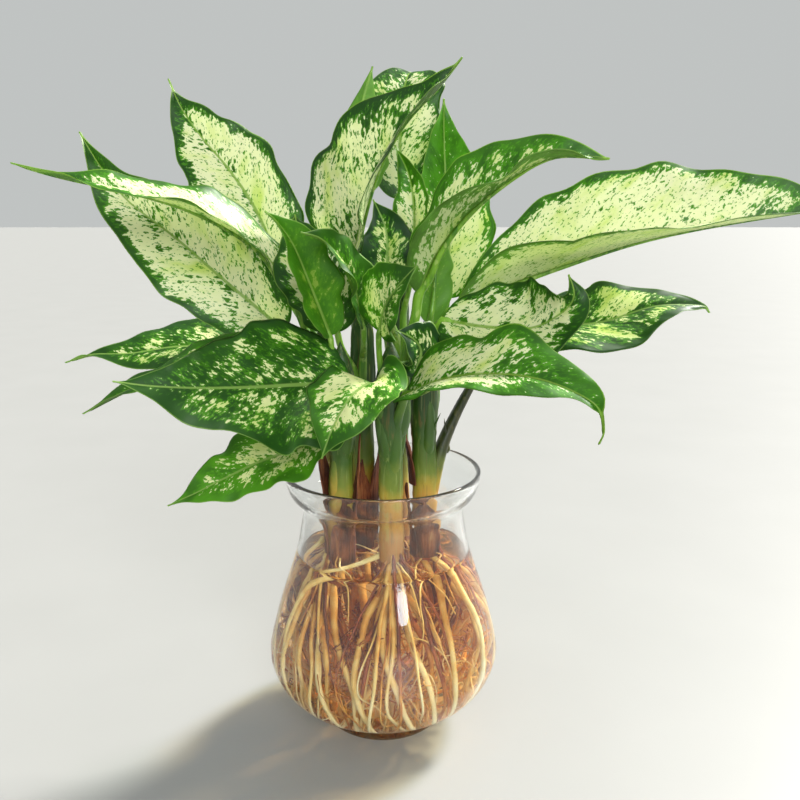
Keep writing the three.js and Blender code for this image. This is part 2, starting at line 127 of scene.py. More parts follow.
# %% Smooth lines
class Line:
    """A smooth curve through a few points, read by the share of its length."""

    STEPS = 24

    def __init__(self, points):
        p = [Vector(q) for q in points]
        p = [2 * p[0] - p[1], *p, 2 * p[-1] - p[-2]]
        self.dots = []
        for a, b, c, d in zip(p, p[1:], p[2:], p[3:]):
            for k in range(self.STEPS):
                u = k / self.STEPS
                self.dots.append(
                    0.5 * (2 * b + (c - a) * u + (2 * a - 5 * b + 4 * c - d) * u**2 + (3 * b - a - 3 * c + d) * u**3)
                )
        self.dots.append(p[-2])
        self.far = [0.0]
        for a, b in zip(self.dots, self.dots[1:]):
            self.far.append(self.far[-1] + (b - a).length)
        self.length = self.far[-1]

    def at(self, u):
        want = min(max(u, 0.0), 1.0) * self.length
        low, high = 0, len(self.far) - 1
        while high - low > 1:
            half = (low + high) // 2
            low, high = (half, high) if self.far[half] <= want else (low, half)
        span = self.far[high] - self.far[low]
        return self.dots[low].lerp(self.dots[high], (want - self.far[low]) / span if span else 0.0)

    def along(self, u):
        step = 0.004
        return (self.at(u + step) - self.at(u - step)).normalized()


def across(direction, facing):
    """The unit vectors up and side of a curve's section, with up as near to facing as it can be."""
    up = (facing - direction * facing.dot(direction)).normalized()
    return up, direction.cross(up)


def tube(line, radius, sides, steps, facing=Vector((0, 1, 0.01)), maps=None, bulge=None):
    """A grid rolled round a line. radius(v) is its radius, and bulge(angle, v) a factor on it.
    The up of a section is carried on from the one before, so the tube doesn't twist."""
    sections, up = [], facing
    for k in range(steps + 1):
        up, side = across(line.along(k / steps), up)
        sections.append((line.at(k / steps), up, side, radius(k / steps)))

    def place(u, v):
        angle = 2 * math.pi * u
        at, up, side, r = sections[round(v * steps)]
        if bulge:
            r *= bulge(angle, v)
        return at + (side * math.cos(angle) + up * math.sin(angle)) * r

    return bent_grid(sides, steps, place, maps, rolled=True)
# %% [markdown]
# ## Wiring materials
# A procedural material is a small sum: noise is stretched, cut off at a level and used to mix colours.
# Three short helpers keep such sums readable. Each one adds a node and hands back the socket to read.

# %% Helpers for nodes
def add_node(tree, kind, inputs=(), **settings):
    made = tree.nodes.new(kind)
    for key, value in settings.items():
        setattr(made, key, value)
    for key, value in dict(inputs).items():
        if isinstance(value, bpy.types.NodeSocket):
            tree.links.new(value, made.inputs[key])
        else:
            made.inputs[key].default_value = value
    return made


def sums(tree, operation, *values):
    return add_node(tree, "ShaderNodeMath", enumerate(values), operation=operation).outputs[0]


def level(tree, value, low, high, start=0.0, end=1.0):
    """start where value is low, end where it is high, and smooth between."""
    inputs = {"Value": value, "From Min": low, "From Max": high, "To Min": start, "To Max": end}
    return add_node(tree, "ShaderNodeMapRange", inputs, interpolation_type="SMOOTHSTEP").outputs[0]


def blended(tree, share, a, b):
    """Colour a where share is 0 and b where it is 1."""
    made = add_node(tree, "ShaderNodeMix", data_type="RGBA")
    for index, value in ((0, share), (6, a), (7, b)):
        if isinstance(value, bpy.types.NodeSocket):
            tree.links.new(value, made.inputs[index])
        elif index:
            made.inputs[index].default_value = (*value, 1)
        else:
            made.inputs[index].default_value = value
    return made.outputs[2]


def grain(tree, vector, scale, detail=2.0, w=None, roughness=0.5):
    """Noise between 0 and 1, mostly near a half."""
    inputs = {"Vector": vector, "Scale": scale, "Detail": detail, "Roughness": roughness}
    if w is None:
        return add_node(tree, "ShaderNodeTexNoise", inputs).outputs[0]
    return add_node(tree, "ShaderNodeTexNoise", {**inputs, "W": w}, noise_dimensions="4D").outputs[0]


def stretched(tree, vector, x, y, z):
    """The vector with each of its parts scaled."""
    inputs = {0: vector, 1: (x, y, z)}
    return add_node(tree, "ShaderNodeVectorMath", inputs, operation="MULTIPLY").outputs[0]


def new_material(name):
    material = bpy.data.materials.new(name)
    material.use_nodes = True
    tree = material.node_tree
    return material, tree, tree.nodes["Principled BSDF"], tree.nodes["Material Output"]


def feed(tree, node, **inputs):
    """Links or sets a node's inputs by name, with _ for a space."""
    for key, value in inputs.items():
        socket = node.inputs[key.replace("_", " ")]
        if isinstance(value, bpy.types.NodeSocket):
            tree.links.new(value, socket)
        else:
            socket.default_value = value


def bumped(tree, height, distance, strength=1.0):
    inputs = {"Height": height, "Distance": distance, "Strength": strength}
    return add_node(tree, "ShaderNodeBump", inputs).outputs[0]


def object_place(tree):
    return add_node(tree, "ShaderNodeTexCoord").outputs["Object"]


def new_group(name, inputs, outputs):
    """A node group with number inputs and outputs, and its two end nodes."""
    group = bpy.data.node_groups.new(name, "ShaderNodeTree")
    for key, value in inputs.items():
        group.interface.new_socket(key, in_out="INPUT", socket_type="NodeSocketFloat").default_value = value
    for key in outputs:
        group.interface.new_socket(key, in_out="OUTPUT", socket_type="NodeSocketFloat")
    return group, group.nodes.new("NodeGroupInput"), group.nodes.new("NodeGroupOutput")
# %% [markdown]
# ## The glass vase
# The real vase is blown: a thick foot, a round belly, a narrow neck and a flared collar. A half outline
# is drawn once, with its outer line going up and its inner line coming down, and it is spun a full turn.
# The lines run smoothly through the same radii and heights that the solid has.

# %% Draw the half outline
VASE_OUTSIDE = [
    (36.3, 5.5), (38.2, 9.5), (47, 14), (56.5, 19.8), (64, 29), (67.8, 39), (68.3, 46), (66.2, 57), (60.4, 78),
    (51.5, 105), (47.6, 124), (46.6, 133), (49, 136.5), (53.4, 141.5), (56, 148), (56.8, 153.8),
]
VASE_INSIDE = [
    (54.3, 153.8), (53.8, 148.6), (51.4, 143.2), (47.4, 138.8), (44.4, 133.5), (45.4, 124), (49.2, 105),
    (58.2, 78), (64, 56.5), (66, 46), (65.5, 39.5), (61.9, 30.6), (54.4, 21.8), (44, 15.8), (30, 12), (14, 10.8),
]
FOOT = [(0, 1), (28.5, 0.8), (32, 0), (35, 0), (36.1, 1.1), (36.5, 2.8)]
CLEAR_SHARE = 0.04  # of the light goes straight through, so that bent rims don't turn black
ROUND_LIP = [(56.6, 154.6), (55.9, 155), (55.1, 154.9), (54.6, 154.5)]
WATER_LEVEL = 105
SPIN_STEPS = 128


def smooth_outline(points, steps):
    line = Line([(r, 0, z) for r, z in points])
    return [line.at(k / steps) for k in range(steps + 1)]


def spun(outline, steps=SPIN_STEPS):
    """A half outline spun a full turn round Z, closed and facing out."""
    bm = bmesh.new()
    verts = [bm.verts.new(p) for p in outline]
    edges = [bm.edges.new(pair) for pair in zip(verts, verts[1:])]
    bmesh.ops.spin(
        bm, geom=verts + edges, cent=(0, 0, 0), axis=(0, 0, 1), angle=2 * math.pi, steps=steps, use_merge=True
    )
    bmesh.ops.remove_doubles(bm, verts=bm.verts, dist=WELD)
    bmesh.ops.recalc_face_normals(bm, faces=bm.faces)
    return bm


# %% [markdown]
# Clear glass is a shader, not a colour: light bends in at one wall and out at the other. A lamp's rays
# can't find their way through bent glass, so the roots behind it would stay dark. For shadow rays the
# glass is therefore plainly see-through, which is what a maker of pictures of glass does most.

# %% The glass and the water
def see_through(material, tree, glass, output, shadow_colour, share=0.0):
    """Mixes the glass with a plain see-through surface for shadow and scattered rays."""
    path = add_node(tree, "ShaderNodeLightPath")
    soft = sums(tree, "MAXIMUM", path.outputs["Is Shadow Ray"], path.outputs["Is Diffuse Ray"])
    soft = sums(tree, "MAXIMUM", soft, share)
    clear = add_node(tree, "ShaderNodeBsdfTransparent", {"Color": (*shadow_colour, 1)})
    mix = add_node(tree, "ShaderNodeMixShader", {0: soft, 1: glass.outputs[0], 2: clear.outputs[0]})
    tree.links.new(mix.outputs[0], output.inputs["Surface"])


def make_glass():
    material, tree, glass, output = new_material("vase_glass")
    place = object_place(tree)
    z = add_node(tree, "ShaderNodeSeparateXYZ", {0: place}).outputs[2]
    # In the foot, below about 10 mm, the glass is coloured dark brown: painted shade and a painted reflection of the
    # roots' brown.
    tint = blended(tree, level(tree, z, 0.0045, 0.0105), (0.22, 0.12, 0.055), (0.975, 0.99, 0.985))
    feed(tree, glass, Transmission_Weight=1.0, IOR=1.47, Roughness=0.0, Base_Color=tint, Specular_IOR_Level=0.25)
    ripple = grain(tree, stretched(tree, place, 1, 1, 0.5), 26, 1)
    feed(tree, glass, Normal=bumped(tree, ripple, 0.0006, 0.3))
    see_through(material, tree, glass, output, (0.90, 0.92, 0.90), CLEAR_SHARE)
    return material


def make_water():
    material, tree, water, output = new_material("amber_water")
    feed(tree, water, Transmission_Weight=1.0, IOR=1.33, Roughness=0.0, Base_Color=(1, 1, 1, 1), Specular_IOR_Level=0.25)
    see_through(material, tree, water, output, (1, 1, 1))
    tint = add_node(tree, "ShaderNodeVolumeAbsorption", {"Color": (0.93, 0.64, 0.17, 1), "Density": 20.0})
    tree.links.new(tint.outputs[0], output.inputs["Volume"])
    return material


# %% Spin the vase
outside = smooth_outline(VASE_OUTSIDE, 70)
inside = smooth_outline(VASE_INSIDE, 70)
foot = [Vector((r, 0, z)) for r, z in FOOT]
lip = [Vector((r, 0, z)) for r, z in ROUND_LIP]
centre = [Vector((0, 0, 10.6))]
vase = finish_piece("vase", spun(foot + outside + lip + inside + centre), [make_glass()])
print("vase:", len(vase.data.polygons), "faces")

# %% [markdown]
# The water is a body of its own. Its skin lies just inside the glass, so that the eye sees one wall and
# no film of air. Where it meets the glass it climbs a little, as water does.

# %% Fill the vase
SKIN = 0.3
CLIMB = 1.3


def inner_radius(z):
    for high, low in zip(inside, inside[1:]):
        if low.z <= z <= high.z:
            return lerp(low.x, high.x, (z - low.z) / (high.z - low.z))
    return 0.0


wet = [Vector((p.x + SKIN, 0, p.z - SKIN / 2)) for p in reversed(inside) if p.z < WATER_LEVEL]
shore = inner_radius(WATER_LEVEL)
surface = [
    Vector((shore + SKIN - back, 0, WATER_LEVEL + CLIMB * math.exp(-back / 1.4))) for back in (0, 0.8, 1.8, 3.2, 6)
]
bottom, middle = [Vector((0, 0, 10.6 - SKIN / 2))], [Vector((0, 0, WATER_LEVEL))]
water = finish_piece("water", spun(bottom + wet + surface + middle), [make_water()])
print("water stands", WATER_LEVEL, "mm high,", round(shore * 2), "mm across")
# %% [markdown]
# ## The canes
# A cane of this plant is a fleshy stem, swollen a little between its ring scars. Its top is fresh green.
# Down at the vase's neck it turns yellow and cream, and just above the water it is brown and fibrous. The
# green and yellow are painted darker than their own colour, as painted shade from the leaves above. The colour follows
# the height, with noise to shift each edge, and long noise draws the fibres.

# %% The skin of a cane
def uv_parts(tree, name):
    uv = add_node(tree, "ShaderNodeUVMap", uv_map=name).outputs[0]
    return add_node(tree, "ShaderNodeSeparateXYZ", {0: uv}).outputs[:2]


def ramp(tree, value, stops):
    """Colours at places from 0 to 1."""
    made = add_node(tree, "ShaderNodeValToRGB", {"Fac": value})
    made.color_ramp.elements.remove(made.color_ramp.elements[1])
    for index, (place, colour) in enumerate(stops):
        stop = made.color_ramp.elements[0] if index == 0 else made.color_ramp.elements.new(place)
        stop.position, stop.color = place, (*colour, 1)
    return made.outputs[0]


def height_and_fibres(tree, low, high):
    """Height as a share between two heights in metres, shifted by noise, and noise that runs upwards."""
    place = object_place(tree)
    z = add_node(tree, "ShaderNodeSeparateXYZ", {0: place}).outputs[2]
    patches = grain(tree, stretched(tree, place, 1, 1, 0.45), 95, 3)
    fibres = grain(tree, stretched(tree, place, 1, 1, 0.05), 700, 3)
    share = sums(tree, "DIVIDE", sums(tree, "SUBTRACT", z, low), high - low)
    shift = sums(tree, "MULTIPLY", sums(tree, "SUBTRACT", patches, 0.5), 0.32)
    return sums(tree, "ADD", share, shift), fibres, patches


# The green and yellow stops are darker than the cane's own colours: painted shade from the leaves over the canes.
CANE_COLOURS_AND_LEAF_SHADE = (
    (0.0, (0.42, 0.18, 0.035)), (0.20, (0.48, 0.21, 0.035)), (0.38, (0.54, 0.27, 0.040)),
    (0.47, (0.42, 0.30, 0.035)), (0.57, (0.16, 0.21, 0.020)), (0.70, (0.050, 0.12, 0.010)),
    (1.0, (0.018, 0.062, 0.006)),
)


def make_cane_skin():
    material, tree, skin, _ = new_material("cane_skin")
    share, fibres, patches = height_and_fibres(tree, 0.100, 0.200)
    share = sums(tree, "SUBTRACT", share, uv_parts(tree, "lot")[0])
    colour = ramp(tree, share, CANE_COLOURS_AND_LEAF_SHADE)
    streaked = blended(tree, level(tree, fibres, 0.56, 0.72, 0, 0.55), colour, (0.16, 0.10, 0.02))
    pale = blended(tree, level(tree, fibres, 0.44, 0.30, 0, 0.35), streaked, (0.42, 0.46, 0.14))
    height = sums(tree, "ADD", sums(tree, "MULTIPLY", fibres, 0.5), patches)
    feed(tree, skin, Base_Color=pale, Roughness=level(tree, patches, 0.3, 0.7, 0.34, 0.55))
    feed(tree, skin, Normal=bumped(tree, height, 0.0006, 0.5))
    return material


# %% The form of a cane
CANES = {
    "front_left": {"foot": (-25, -8), "top": (-22, -14, 203), "thick": (7.6, 5.4), "pale": -0.08},
    "back_left": {"foot": (-30, 15), "top": (-35, 22, 214), "thick": (6.2, 4.6), "pale": 0.02},
    "middle": {"foot": (-12, 15), "top": (-12, 16, 226), "thick": (7.4, 4.8), "pale": 0},
    "front": {"foot": (5, -14), "top": (5, -22, 205), "thick": (6.8, 6), "pale": -0.04},
    "right": {"foot": (25, 2), "top": (23, -2, 213), "thick": (7.8, 5.6), "pale": -0.02},
    "back": {"foot": (9, 27), "top": (9, 32, 240), "thick": (6.6, 4.6), "pale": -0.05},
}
CANE_FOOT = 101
RING_SWELL = 0.09
SCAR = 0.05
WRAPPED = 0.42  # how much thicker the top is, in the feet of its leaves
SHOOT = 28


def cane_axis(cane, z):
    x, y, top = cane["top"]
    u = (z - CANE_FOOT) / (top - CANE_FOOT)
    bow = u * u * (3 - 2 * u)
    return Vector((lerp(cane["foot"][0], x, bow), lerp(cane["foot"][1], y, bow), z))


def cane_girth(cane, z):
    u = min((z - CANE_FOOT) / (cane["top"][2] - CANE_FOOT), 1)
    swell = RING_SWELL * (0.5 - 0.5 * math.cos(6 * math.pi * u))
    return lerp(*cane["thick"], u) * (1 + swell + WRAPPED * ease(0.55, 0.9, u))


def cane_body(cane, seed):
    top = cane["top"][2]
    end = top + SHOOT
    line = Line([cane_axis(cane, lerp(CANE_FOOT, end, k / 8)) for k in range(9)])

    def radius(v):
        z = lerp(CANE_FOOT, end, v)
        u = (z - CANE_FOOT) / (top - CANE_FOOT)
        scar = sum(math.exp(-(((u - place) / 0.012) ** 2)) for place in (0.18, 0.34, 0.43, 0.67))
        rounded = math.sqrt(max(0.0, 1 - ease(top + 2, end, z))) * math.sqrt(min(v / 0.01, 1))
        return cane_girth(cane, z) * (1 + SCAR * scar) * rounded

    def flutes(angle, v):
        dents = noise.noise(Vector((math.cos(angle) * 1.6, math.sin(angle) * 1.6, v * 3 + seed)))
        return 1 + 0.05 * dents + 0.02 * math.cos(3 * angle + seed)

    return tube(line, radius, 32, 90, maps={"lot": lambda u, v: (cane["pale"], seed)}, bulge=flutes)


# %% Make the six canes
cane_skin = make_cane_skin()
for seed, (name, cane) in enumerate(CANES.items()):
    finish_piece("cane_" + name, joined([cane_body(cane, 7 * seed)]), [cane_skin])
print("canes:", len(CANES))

# %% [markdown]
# Old leaves leave their sheaths behind: thin brown paper, torn at the top, wrapped half round a cane. A
# sheath is a grid wrapped round the cane's axis. Noise tears its upper edge and lets it wander. Scraps
# of the sheaths before it cling to the same cane.

# %% Dry sheaths
SHEATHS = {
    "front_left": {"from": 107, "to": 176, "bearing": 165, "wrap": 120, "lean": 5},
    "middle": {"from": 107, "to": 168, "bearing": -25, "wrap": 110, "lean": 2.5},
    "right": {"from": 146, "to": 186, "bearing": 180, "wrap": 110, "lean": 5},
}
SCRAPS = {
    "front_left": [
        {"from": 97, "to": 178, "bearing": 12, "wrap": 95, "lean": 1.5},
        {"from": 96, "to": 142, "bearing": -70, "wrap": 120, "lean": 0.6},
    ],
    "middle": [
        {"from": 97, "to": 158, "bearing": -95, "wrap": 100, "lean": 2},
        {"from": 96, "to": 150, "bearing": 190, "wrap": 100, "lean": 1.5},
    ],
    "right": [
        {"from": 97, "to": 139, "bearing": -95, "wrap": 150, "lean": 0.8},
        {"from": 96, "to": 146, "bearing": 185, "wrap": 110, "lean": 1.8},
    ],
}
PAPER = 0.0006


def make_dry_sheath():
    material, tree, skin, _ = new_material("dry_sheath")
    place = object_place(tree)
    fibres = grain(tree, stretched(tree, place, 1, 1, 0.06), 900, 3)
    patches = grain(tree, stretched(tree, place, 1, 1, 0.4), 120, 3)
    colour = ramp(tree, sums(tree, "ADD", sums(tree, "MULTIPLY", patches, 0.7), sums(tree, "MULTIPLY", fibres, 0.3)), (
        (0.36, (0.030, 0.007, 0.004)), (0.47, (0.10, 0.022, 0.008)), (0.56, (0.22, 0.062, 0.018)),
        (0.68, (0.40, 0.18, 0.06)),
    ))
    feed(tree, skin, Base_Color=colour, Roughness=level(tree, patches, 0.3, 0.7, 0.6, 0.85))
    feed(tree, skin, Normal=bumped(tree, fibres, 0.0008, 0.8))
    return material


def sheath_body(cane, sheath, seed):
    swollen = cane["thick"][0] * 1.09 + 0.7

    def place(u, v):
        torn = noise.noise(Vector((u * 5, seed, 0))) * 0.16 + noise.noise(Vector((u * 17, seed, 5))) * 0.08
        rise = v * (1 - 0.25 * abs(2 * u - 1) ** 2 + torn)
        z = lerp(sheath["from"], sheath["to"], min(max(rise, 0), 1))
        wave = noise.noise(Vector((u * 3, v * 5, seed))) * 1.2 * v
        near = swollen + sheath["lean"] * rise * rise + wave + 1.2 * abs(2 * u - 1) ** 3 * v
        wrap = sheath["wrap"] * max(0.2, math.cos(math.pi / 2 * min(rise, 1)) ** 0.7)
        angle = math.radians(sheath["bearing"] + wrap * (u - 0.5))
        middle = cane_axis(cane, z)
        return Vector((middle.x + near * math.cos(angle), middle.y + near * math.sin(angle), z))

    return bent_grid(18, 40, place)


def thickened(piece, thickness, under=0):
    """Gives a sheet its thickness, inwards from the side that its faces look at."""
    wall = piece.modifiers.new("thickness", "SOLIDIFY")
    wall.thickness, wall.offset, wall.material_offset = thickness, -1, under
    return piece


dry_sheath = make_dry_sheath()
for seed, (name, sheath) in enumerate(SHEATHS.items()):
    strips = [sheath_body(CANES[name], one, 3 + seed + 7 * k) for k, one in enumerate([sheath, *SCRAPS[name]])]
    shell = joined(strips)
    thickened(finish_piece("sheath_" + name, shell, [dry_sheath]), PAPER)
print("dry sheaths:", len(SHEATHS))
# %% [markdown]
# ## How a leaf is marked
# The leaves of this plant are cream where they lack green. The cream fills the middle of each half, the
# margin stays dark, and flecks lie along the side veins. So the pattern needs a few facts about a point:
# how far it is from the midrib, how far along it, how far from the margin, and which leaf it is on. The
# grid carries them in UV maps, in tenths of a metre. Noise is cut off at a level that falls towards the
# margin, so that cream islands stand in the green there, and green flecks in the cream further in.

# %% The leaf pattern, as a group
VEIN_SLANT = 1.5


def make_leaf_pattern():
    inputs = {"Cream": 0.6, "Edge Drop": 0.3, "Edge Width": 0.16, "Clump": 0.5, "Fleck": 1.0, "Border": 0.03}
    group, given, result = new_group("leaf_pattern", inputs, ["Cream", "Fresh", "Rib", "Tone", "Edge And Sheen", "Height"])
    out_from_rib, along_rib = uv_parts(group, "leaf")
    from_margin, share = uv_parts(group, "margin")
    seed, extra = uv_parts(group, "lot")
    fresh, green_tip = uv_parts(group, "mood")

    away = sums(group, "ABSOLUTE", out_from_rib)
    own = sums(group, "MULTIPLY_ADD", sums(group, "SIGN", out_from_rib), 3.0, seed)
    size = math.hypot(1, VEIN_SLANT)
    over = sums(group, "DIVIDE", sums(group, "SUBTRACT", along_rib, sums(group, "MULTIPLY", away, VEIN_SLANT)), size)
    down = sums(group, "DIVIDE", sums(group, "MULTIPLY_ADD", along_rib, VEIN_SLANT, away), size)
    veins = add_node(group, "ShaderNodeCombineXYZ", {0: over, 1: down}).outputs[0]

    flecks = grain(group, stretched(group, veins, 56, 25, 0), given.outputs["Fleck"], 3, own, 0.5)
    clumps = grain(group, stretched(group, veins, 11, 7, 0), 1, 1, sums(group, "ADD", own, 40.0))
    fine = grain(group, stretched(group, veins, 84, 38, 0), 1, 2, sums(group, "ADD", own, 20.0))
    tone = grain(group, stretched(group, veins, 7, 3, 0), 1, 3, sums(group, "ADD", own, 80.0), 0.6)

    drop = sums(group, "MULTIPLY", level(group, from_margin, given.outputs["Edge Width"], 0.0), given.outputs["Edge Drop"])
    rim = level(group, from_margin, given.outputs["Border"], sums(group, "MULTIPLY", given.outputs["Border"], 0.3), 0, 0.22)
    amount = sums(group, "SUBTRACT", sums(group, "ADD", given.outputs["Cream"], extra), sums(group, "ADD", drop, rim))
    amount = sums(group, "MULTIPLY_ADD", sums(group, "SUBTRACT", clumps, 0.5), given.outputs["Clump"], amount)
    amount = sums(group, "MULTIPLY_ADD", sums(group, "SUBTRACT", tone, 0.5), 0.35, amount)
    amount = sums(group, "SUBTRACT", amount, level(group, share, 0.70, 1.0, 0.0, 0.24))
    amount = sums(group, "SUBTRACT", amount, level(group, away, 0.045, 0.0, 0.0, 0.09))
    amount = sums(group, "SUBTRACT", amount, sums(group, "MULTIPLY", level(group, share, 0.4, 0.65), green_tip))
    room = sums(group, "SUBTRACT", amount, flecks)
    room = sums(group, "MINIMUM", room, sums(group, "MULTIPLY", sums(group, "SUBTRACT", 0.60, fine), 2.0))
    room = sums(group, "MAXIMUM", room, sums(group, "SUBTRACT", sums(group, "SUBTRACT", fine, 0.685), rim))
    halo = sums(group, "MULTIPLY", level(group, room, -0.17, 0.0), level(group, tone, 0.32, 0.62, 0.5, 1))
    fresh = sums(group, "ADD", halo, sums(group, "MULTIPLY", fresh, level(group, clumps, 0.35, 0.6, 0.5, 1.0)))

    rib_width = level(group, share, 0.0, 1.0, 0.016, 0.005)
    ridges = sums(group, "SINE", sums(group, "MULTIPLY", over, 75.0))
    made = {
        "Cream": level(group, room, -0.018, 0.018),
        "Fresh": sums(group, "MINIMUM", fresh, 1.0),
        "Rib": level(group, sums(group, "DIVIDE", away, rib_width), 1.0, 0.5),
        "Tone": tone,
        # A thin pale line along the margin: partly the leaf's own pale rim, partly a painted highlight where the margin
        # catches light.
        "Edge And Sheen": level(group, from_margin, 0.006, 0.003),
        "Height": sums(group, "MULTIPLY_ADD", ridges, 0.35, sums(group, "MULTIPLY", clumps, 0.8)),
    }
    for key, value in made.items():
        group.links.new(value, result.inputs[key])
    return group


# %% [markdown]
# Each kind of leaf sets the group's numbers and its own colours. A thin leaf also glows when the light is
# behind it, so a translucent shader is mixed in with a warmer green. The underside is paler and duller.

# %% Leaf surfaces
leaf_pattern = make_leaf_pattern()
# shaded_lime is the cream as it looks in shade: partly the leaf's own lime, partly painted shade.
LEAF_KINDS = {
    "pale": {
        "numbers": {"Cream": 0.585, "Edge Drop": 0.29, "Edge Width": 0.11, "Clump": 0.60, "Fleck": 1.0, "Border": 0.03},
        "cream": (0.97, 0.96, 0.64), "shaded_lime": (0.70, 0.82, 0.20), "rib": (0.30, 0.50, 0.07),
        "deep": (0.007, 0.056, 0.005), "mid": (0.09, 0.34, 0.010),
    },
    "dark": {
        "numbers": {"Cream": 0.475, "Edge Drop": 0.14, "Edge Width": 0.14, "Clump": 0.80, "Fleck": 1.15, "Border": 0.06},
        "cream": (0.93, 0.95, 0.50), "shaded_lime": (0.58, 0.74, 0.12), "rib": (0.30, 0.50, 0.10),
        "deep": (0.006, 0.056, 0.005), "mid": (0.10, 0.36, 0.010),
    },
    "green": {
        "numbers": {"Cream": 0.38, "Edge Drop": 0.2, "Edge Width": 0.1, "Clump": 0.5, "Fleck": 0.8, "Border": 0.03},
        "cream": (0.40, 0.58, 0.08), "shaded_lime": (0.26, 0.46, 0.04), "rib": (0.32, 0.52, 0.09),
        "deep": (0.05, 0.22, 0.010), "mid": (0.13, 0.38, 0.015),
    },
}
GLOW = 0.38


def softened(colour, towards, share):
    return tuple(lerp(c, t, share) for c, t in zip(colour, towards))


def make_leaf_surface(name, kind, under):
    colours = LEAF_KINDS[kind]
    material, tree, skin, output = new_material(name)
    marks = add_node(tree, "ShaderNodeGroup", node_tree=leaf_pattern)
    for key, value in colours["numbers"].items():
        marks.inputs[key].default_value = value
    fade = 0.35 if under else 0.0
    own = {key: softened(colours[key], (0.26, 0.46, 0.10), fade) for key in ("cream", "shaded_lime", "rib", "deep", "mid")}
    tone = marks.outputs["Tone"]
    colour = blended(tree, marks.outputs["Fresh"], own["deep"], own["mid"])
    # Where the tone is high the cream turns lime: partly the leaf's own lime, partly painted shade and a painted glow
    # of light through the blade.
    cream = blended(tree, level(tree, tone, 0.46, 0.74), own["cream"], own["shaded_lime"])
    colour = blended(tree, marks.outputs["Cream"], colour, cream)
    colour = blended(tree, sums(tree, "MULTIPLY", marks.outputs["Rib"], 0.85), colour, own["rib"])
    # The pale margin line is partly the leaf's own rim and partly a painted highlight.
    colour = blended(tree, sums(tree, "MULTIPLY", marks.outputs["Edge And Sheen"], 0.6), colour, own["rib"])
    relief = bumped(tree, marks.outputs["Height"], 0.0007 if under else 0.0005, 0.6)
    gloss = level(tree, tone, 0.3, 0.7, 0.5, 0.6) if under else level(tree, tone, 0.3, 0.7, 0.40, 0.54)
    feed(tree, skin, Base_Color=colour, Normal=relief, Roughness=gloss, Specular_IOR_Level=0.4)
    warm = blended(tree, 0.25, colour, (0.42, 0.70, 0.02))
    glow = add_node(tree, "ShaderNodeBsdfTranslucent", {"Color": warm, "Normal": relief})
    mix = add_node(tree, "ShaderNodeMixShader", {0: GLOW, 1: skin.outputs[0], 2: glow.outputs[0]})
    tree.links.new(mix.outputs[0], output.inputs["Surface"])
    return material


def make_stalk_skin(name, fresh, shaded, mottle, own):
    """A stalk has the cane's colours at its foot. own is from where to where it takes on its own."""
    material, tree, skin, _ = new_material(name)
    place = object_place(tree)
    lines = grain(tree, stretched(tree, place, 1, 1, 0.12), 420, 2)
    spots = grain(tree, stretched(tree, place, 1, 1, 0.5), 260, 3)
    broad = grain(tree, place, 30, 1)
    colour = blended(tree, sums(tree, "MULTIPLY", level(tree, lines, 0.35, 0.65), level(tree, broad, 0.35, 0.6)), fresh, shaded)
    colour = blended(tree, level(tree, spots, 0.56, 0.64, 0, 0.6), colour, mottle)
    height = height_and_fibres(tree, 0.100, 0.200)[0]
    colour = blended(tree, level(tree, height, *own), ramp(tree, height, CANE_COLOURS_AND_LEAF_SHADE), colour)
    feed(tree, skin, Base_Color=colour, Roughness=level(tree, spots, 0.3, 0.7, 0.32, 0.5))
    feed(tree, skin, Normal=bumped(tree, lines, 0.0003, 0.5))
    return material


stalk_skin = make_stalk_skin("stalk_skin", (0.20, 0.40, 0.035), (0.045, 0.17, 0.010), (0.42, 0.56, 0.15), (0.75, 1.35))
old_stalk_skin = make_stalk_skin("old_stalk_skin", (0.055, 0.06, 0.018), (0.022, 0.030, 0.010), (0.12, 0.11, 0.04), (0.45, 0.75))
blades = {
    kind: (make_leaf_surface("leaf_%s_top" % kind, kind, False), make_leaf_surface("leaf_%s_under" % kind, kind, True))
    for kind in LEAF_KINDS
}
print("leaf surfaces:", sorted(blades))
# %% [markdown]
# ## The form of each leaf
# A leaf is told by its midrib and a few numbers, as a botanist would sketch it. rib is the line from the
# blade's base to its tip. half is half the widest width, which it reaches at peak of its length, rise is
# how slender the base is, blunt is how slender the tip is, and tail is the share left to the drip tip.
# face is where the upper side looks, folds are how far the left and right halves are turned up from
# flat, at even steps from base to tip, and wave is the height of the waves in the margin. cane and joins
# say where the stalk grows. cream above 0 makes the leaf paler, fresh, from 0 to 1, turns its dark green
# to a bright one, and green_tip takes the cream out of its outer part.

